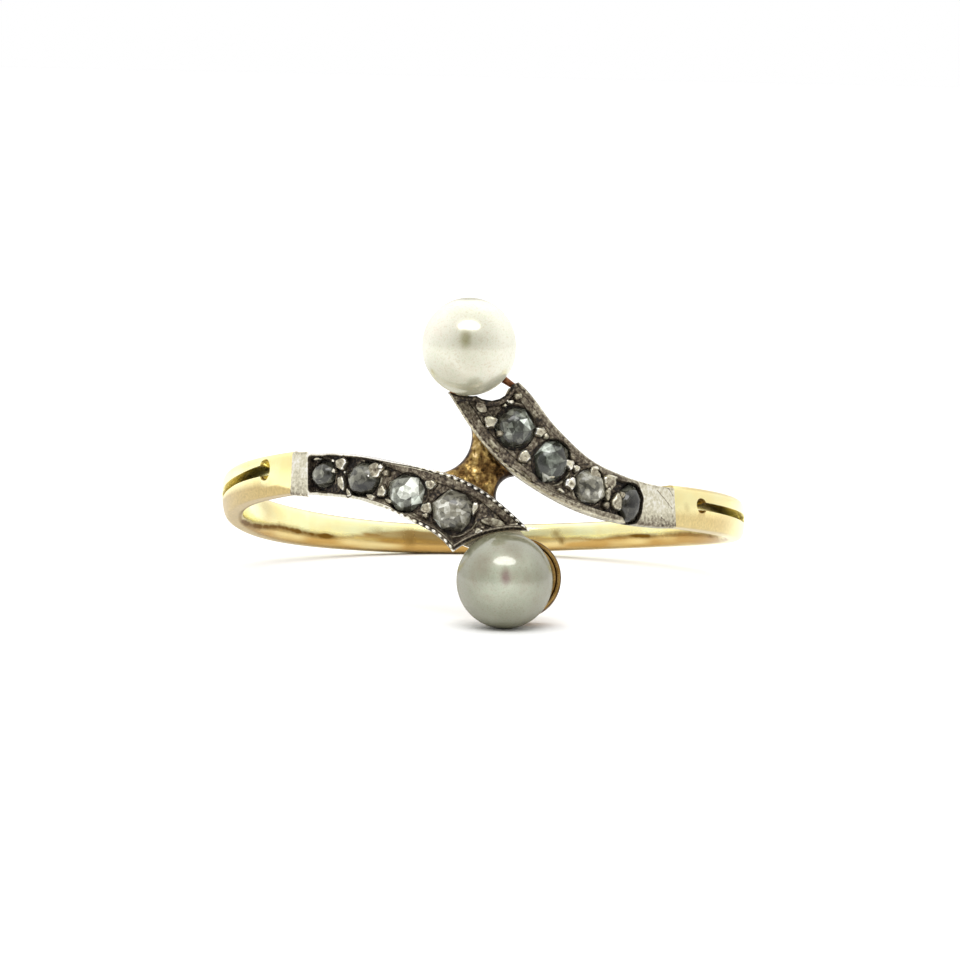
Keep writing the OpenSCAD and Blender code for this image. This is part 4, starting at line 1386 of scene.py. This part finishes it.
def addLeaves(grid, finish, height, patina):
    # long pointed ovals left standing in the floor: the 1.6th powers of both directions add up to 1 at their outline
    for *place, light in finish["leaves"]:
        u, v = turnedInto(grid.along, grid.up, place)
        leaf = (np.abs(u) ** 1.6 + np.abs(v) ** 1.6) ** (1 / 1.6)
        body = 1 - eased(leaf, 0.86, 1.0)
        height = height * (1 - body) - (channels["leafDepth"] - 0.04 * v) * body
        tone = metalTones["leaf"] - metalTones["leafLight"] * light + 0.22 * grid.noise(9, 4)
        patina = patina * (1 - body) + body * tone
        patina = np.maximum(patina, metalTones["leafEdge"] * bump(leaf, 1.1, 0.12) * eased(grid.edge, 0.2, 0.26))
    return height, patina


def sinkSeats(grid, stones, sunk, height, patina):
    # a pit under each stone, black round its girdle, with a light lip pushed up outside that here and there
    for stone in stones:
        x, z, wide, high, turn = stone["place"]
        u, v = turnedInto(grid.along, grid.up, (x, z, wide / 2, high / 2, turn))
        away = (np.hypot(u, v) - 1) * (wide + high) / 4
        pit = 1 - eased(away, 0.02, channels["moat"])
        height = height * (1 - pit) - (channels["depth"] + channels["seatDepth"]) * pit
        uneven = 0.035 * grid.noise(3.5, 16)
        patina = np.maximum(patina, metalTones["seat"] * (1 - eased(away + uneven, 0.0, 0.07)))
        lipLight = bump(away, 0.11, 0.04) * sunk * eased(grid.noise(2.5, 6), -0.1, 0.5)
        height += channels["lipHeight"] * lipLight
        patina -= metalTones["seatLip"] * lipLight
    return height, patina


def raiseGrains(grid, finish, height, patina):
    # pushed-up grains, each with an uneven outline, a flat matt top, a painted highlight at its edge, a black gap round
    # it
    along, up, seed = grid.along, grid.up, finish["seed"]
    for x, z, halfLong, halfWide, turn, light, dot in finish["grains"]:
        halfLong, halfWide = halfLong * channels["grainScale"], halfWide * channels["grainScale"]
        u, v = turnedInto(along, up, (x, z, halfLong, halfWide, turn))
        angle = np.arctan2(v, u)
        away = np.hypot(u, v) * (1 + 0.10 * np.sin(3 * angle + 9 * x) + 0.06 * np.sin(5 * angle + 7 * z))
        away = away + 0.07 * lattice(along * 9 + x, up * 9, seed + 8)
        body = away < 1
        dome = (1 - np.clip(away, 0, 1) ** 4) ** 0.5
        top = -channels["grainFoot"] + channels["grainHeight"] * dome - channels["dotDepth"] * dot * bump(away, 0, 0.3)
        height = np.where(body, np.maximum(height, top), height)
        tone = metalTones["grain"] - metalTones["grainLight"] * light
        # painted highlight: a light ring just inside the grain's edge
        tone = tone - (finish["edgeHighlight"] + 0.1 * light) * bump(away, 0.80, 0.10)
        tone = tone + metalTones["dot"] * dot * bump(np.hypot(u - 0.1, v + 0.1), 0, 0.26)
        # painted shade: darker across one side of the grain, with fine noise
        tone = tone + 0.08 * grid.noise(12, 0) + 0.12 * eased(-u - v, 0.2, 1.4)
        gap = metalTones["grainGap"] * bump((away - 1) * math.sqrt(halfLong * halfWide), 0.01, 0.028)
        patina = np.where(body, tone, np.maximum(patina, gap))
    return height, patina


def channelTop(side, grid, stones):
    # the relief over one arm in the order of its making, and the patina that belongs to it
    finish = armFinish[side]
    height, patina, sunk, rimTone, beaded = cutChannel(side, grid, finish)
    height, patina = finishEnds(grid, finish, height, patina)
    height, patina = addMilgrain(grid, finish, beaded, rimTone, height, patina)
    height += channels["floorUneven"] * sunk * (grid.noise(5, 1) + 0.5 * grid.noise(11, 2))
    height, patina = addLeaves(grid, finish, height, patina)
    height, patina = sinkSeats(grid, stones, sunk, height, patina)
    height, patina = raiseGrains(grid, finish, height, patina)
    return height, np.clip(patina, 0, 1)


def makeChannel(side, rows, scallop, stones, node):
    # the relief wrapped round the finger, over a plain underside
    grid = armGrid(side, rows, scallop)
    height, patina = channelTop(side, grid, stones)
    top = wrap(grid.along, grid.crest + height, grid.up)
    low = wrap(grid.along, grid.crest - ring["platinum"], grid.up)
    solid = reliefSolid(top, low, channels["coarse"])
    walls = np.full(len(solid[0]) - patina.size, armFinish[side]["wallTone"])
    tones = {"patina": np.concatenate([patina.ravel(), walls])}
    addPiece(f"{side}Channel", solid, wornPlatinum, [node], 40, tones=tones)


makeChannel("left", leftArm, arms["bottomScallop"], leftStones, "setting_left")
makeChannel("right", rightArm, arms["topScallop"], rightStones, "setting_right")
print("channels made")


roseCut = {
    "sides": 8,
    "rings": [(1.0, 0.0, 0.0), (1.0, 0.22, 0.0), (0.76, 0.72, 0.5), (0.40, 1.0, 0.0)],      # reach, rise, turn
    "stands": 0.08,            # how far the table stands over the arm, and the girdle's foot lies under the floor
    "under": 0.05,
    "jitter": 0.18,            # how far the corners stray round the stone, as a share of a side, and in and out
    "uneven": 0.12,
    "facetSwing": 0.11,        # how far the facets differ in tone
}


def roseStone(stone, seed):
    # a rose cut: an uneven girdle, a ring of lower facets, a ring of upper ones and a small table, all flat
    rng = np.random.default_rng(seed)
    sides = roseCut["sides"]
    along, up, wide, high, turn = stone["place"]
    crest = float(crestAt(along))
    base = crest - channels["depth"] - roseCut["under"]
    tall = channels["depth"] + roseCut["under"] + roseCut["stands"]
    points = []
    for share, rise, shift in roseCut["rings"]:
        stray = rng.uniform(-roseCut["jitter"], roseCut["jitter"], sides)
        a = (np.arange(sides) + shift + stray) * 2 * math.pi / sides
        reach = share * (1 + rng.uniform(-roseCut["uneven"], roseCut["uneven"], sides) * (1.0 if rise > 0.3 else 0.8))
        points.append(np.stack([reach * np.cos(a), reach * np.sin(a), np.full(sides, base + tall * rise)], -1))
    points[1][:, :2] = points[0][:, :2]
    local = np.vstack(points)
    j = np.arange(sides)
    k = (j + 1) % sides
    faces = [
        np.stack([j, k, k + sides, j + sides], -1),
        np.stack([j + sides, k + sides, j + 2 * sides], -1),
        np.stack([k + sides, k + 2 * sides, j + 2 * sides], -1),
        np.stack([j + 2 * sides, k + 3 * sides, j + 3 * sides], -1),
        np.stack([j + 2 * sides, k + 2 * sides, k + 3 * sides], -1),
        (j + 3 * sides)[None, :],
        j[None, ::-1],
    ]
    middles = np.vstack([local[f].mean(1) for f in faces])
    tone = stone["tone"] + roseCut["facetSwing"] * rng.uniform(-1, 1, len(middles))
    warmth = stone["warmth"] + 0 * tone
    # painted highlights and reflections: each spot lightens or darkens the facets near it
    for x, y, size, lighter, warmer in stone["spots"]:
        near = bump(np.hypot(middles[:, 0] - x, middles[:, 1] - y), 0, size)
        tone = tone + lighter * near
        warmth = warmth + warmer * near
    a = math.radians(turn)
    x, y = local[:, 0] * wide / 2, local[:, 1] * high / 2
    dx, dz = x * math.cos(a) - y * math.sin(a), x * math.sin(a) + y * math.cos(a)
    flatAngle = along / ring["frontRadius"]
    out = local[:, 2]
    across, level = math.cos(flatAngle), math.sin(flatAngle)
    world = np.stack([out * level + dx * across, -out * across + dx * level, up + dz], -1)
    return (world, faces), {"tone": np.clip(tone, 0, 1), "tint": np.clip(warmth, 0, 1)}


def makeStones():
    # four stones in each arm, flat-faced, each with its own seed
    for side, stones, seed in (("left", leftStones, 40), ("right", rightStones, 50)):
        for k, stone in enumerate(stones):
            solid, tones = roseStone(stone, seed + k)
            node = f"diamond_{side}_{k + 1}"
            addPiece(f"{side}Diamond{k + 1}", solid, oldDiamond, [node], flat=True, tones=tones)


makeStones()
print("stones made")


studio = {
    "floorRings": (0.02, 0.05, 0.1, 0.3, 0.8, 1.6),
    "floorSides": 96,
    "pale": (0.97, 0.97, 0.965),
    "bright": 0.84,            # brightness of the room at the horizon
    "zenith": 1.4,             # and straight up
    # brightness of the room by the cosine of the angle from the camera: a soft dark opening round the camera
    "opening": [
        (-1.0, 1.3), (-0.3, 1.2), (0.10, 1.0), (0.45, 0.85), (0.75, 0.55), (0.93, 0.44), (0.965, 0.38), (0.982, 0.10),
    ],
    "brightest": 1.3,
    "behind": 1.2,             # and of the side away from the camera, low down
    "fade": 0.24,              # the opening fades out below this height
    "figure": {"reach": 0.15, "rise": 0.34, "tall": 0.40, "dark": 0.03},       # whoever looks through the camera
    "softbox": {"rise": 48.5, "away": 0.30, "size": (0.27, 0.12), "power": 0.36},
}

# The camera as worked out on the upright ring: its tilt and bank in degrees, and where the ring's middle lies from it
# to the right, up and ahead, in millimetres. Scale is the picture's at that distance, in its own points.
view = {
    "tilt": 6.73,
    "bank": 0.8,
    "middle": (0.118, -1.12, 150.0),
    "scale": 28.01,            # points to a millimetre
    "picture": 960,            # points across
    "sensor": 36,
}


def cameraFrame():
    # the camera's place and its three axes, carried over from the upright ring to the ring at rest
    tilt, bank = math.radians(view["tilt"]), math.radians(view["bank"])
    upright = np.array([[1, 0, 0], [0, -math.sin(tilt), math.cos(tilt)], [0, math.cos(tilt), math.sin(tilt)]])
    banked = np.array([[math.cos(bank), -math.sin(bank), 0], [math.sin(bank), math.cos(bank), 0], [0, 0, 1]])
    axes = banked @ upright
    place = toRest(-axes.T @ np.array(view["middle"]))
    return place, [restTurn @ axis for axis in axes]


cameraPlace, (cameraRight, cameraUp, cameraAhead) = cameraFrame()


def makeFloor():
    # a flat round floor of a few rings
    radius = np.array(studio["floorRings"])[:, None]
    n, m = len(radius), studio["floorSides"]
    turn = np.linspace(0, 2 * math.pi, m, endpoint=False)
    grid = np.stack([radius * np.cos(turn), radius * np.sin(turn), np.zeros((n, m))], -1)
    points = np.vstack([grid.reshape(-1, 3), [[0, 0, 0]]])
    j = np.arange(m)
    middle = np.stack([j, (j + 1) % m, 0 * j + n * m], -1)
    mesh = bpy.data.meshes.new("floor")
    rings = gridFaces(n, m, closeColumns=True)[:, ::-1]
    mesh.from_pydata(points.tolist(), [], rings.tolist() + middle.tolist())
    floor = bpy.data.objects.new("floor", mesh)
    bpy.context.collection.objects.link(floor)
    material, tree, shader = newMaterial("paleFloor")
    setInputs(tree, shader, {"Base Color": colourOf(studio["pale"]), "Roughness": 0.9})
    mesh.materials.append(material)


def addLamp(name, place, size, power):
    # a soft oval of light that faces the ring
    lamp = bpy.data.lights.new(name, "AREA")
    lamp.shape = "ELLIPSE"
    lamp.size, lamp.size_y = size
    lamp.energy = power
    holder = bpy.data.objects.new(name, lamp)
    bpy.context.collection.objects.link(holder)
    holder.location = place
    holder.rotation_euler = (-Vector(place)).to_track_quat("-Z", "Y").to_euler()


def makeRoom():
    # a bright room, brighter overhead, with a dark opening and a figure round the camera that fade out low down;
    # seen directly it is plain and pale
    world = bpy.data.worlds.new("softRoom")
    world.use_nodes = True
    tree = world.node_tree
    way = addNode(tree, "ShaderNodeTexCoord").outputs["Generated"]
    share = mathOf(tree, "MULTIPLY", mathOf(tree, "ADD", dotOf(tree, way, -cameraAhead), 1.0), 0.5)
    brightest = studio["brightest"]
    opening = rampOf(tree, share, [((place + 1) / 2, level / brightest) for place, level in studio["opening"]])

    figure = studio["figure"]
    across = dotOf(tree, way, cameraRight / figure["reach"])
    above = mathOf(tree, "SUBTRACT", dotOf(tree, way, cameraUp / figure["tall"]), figure["rise"] / figure["tall"])
    away = mathOf(tree, "ADD", mathOf(tree, "MULTIPLY", across, across), mathOf(tree, "MULTIPLY", above, above))
    shape = rampOf(tree, away, [(0.5, figure["dark"]), (0.95, 1.0)])
    opening = mixOf(tree, 1.0, opening, shape, "MULTIPLY")

    height = addNode(tree, "ShaderNodeSeparateXYZ", None, {"Vector": way}).outputs["Z"]
    faded = rampOf(tree, height, [(0.0, 0), (studio["fade"], 1)])
    behind = rampOf(tree, share, [(0.35, studio["behind"] / brightest), (0.6, 1 / brightest)])
    lift = rampOf(tree, height, [(0.0, studio["bright"] / studio["zenith"]), (1.0, 1.0)])
    tone = mixOf(tree, 1.0, mixOf(tree, faded, behind, opening), lift, "MULTIPLY")
    seen = addNode(tree, "ShaderNodeLightPath").outputs["Is Camera Ray"]
    strength = studio["zenith"] * brightest
    setInputs(tree, tree.nodes["Background"], {
        "Color": mixOf(tree, seen, tone, 1 / strength), "Strength": strength,
    })
    bpy.context.scene.world = world


def makeLight():
    # the room, and a soft light over the camera
    makeRoom()
    box = studio["softbox"]
    a = math.radians(box["rise"])
    way = -cameraAhead * math.cos(a) + cameraUp * math.sin(a)
    addLamp("softbox", tuple(way * box["away"]), box["size"], box["power"])
    bpy.context.scene.view_settings.view_transform = "Standard"


def makeCamera():
    # the lens that shows a millimetre at the ring's distance as large as the scale says
    camera = bpy.data.cameras.new("camera")
    camera.sensor_width = view["sensor"]
    camera.lens = view["scale"] * view["middle"][2] / view["picture"] * view["sensor"]
    camera.clip_start, camera.clip_end = 0.005, 5
    holder = bpy.data.objects.new("camera", camera)
    bpy.context.collection.objects.link(holder)
    matrix = np.eye(4)
    matrix[:3, 0], matrix[:3, 1], matrix[:3, 2] = cameraRight, cameraUp, -cameraAhead
    matrix[:3, 3] = cameraPlace
    holder.matrix_world = Matrix(matrix.tolist())
    bpy.context.scene.camera = holder


makeFloor()
makeLight()
makeCamera()
print("studio made")
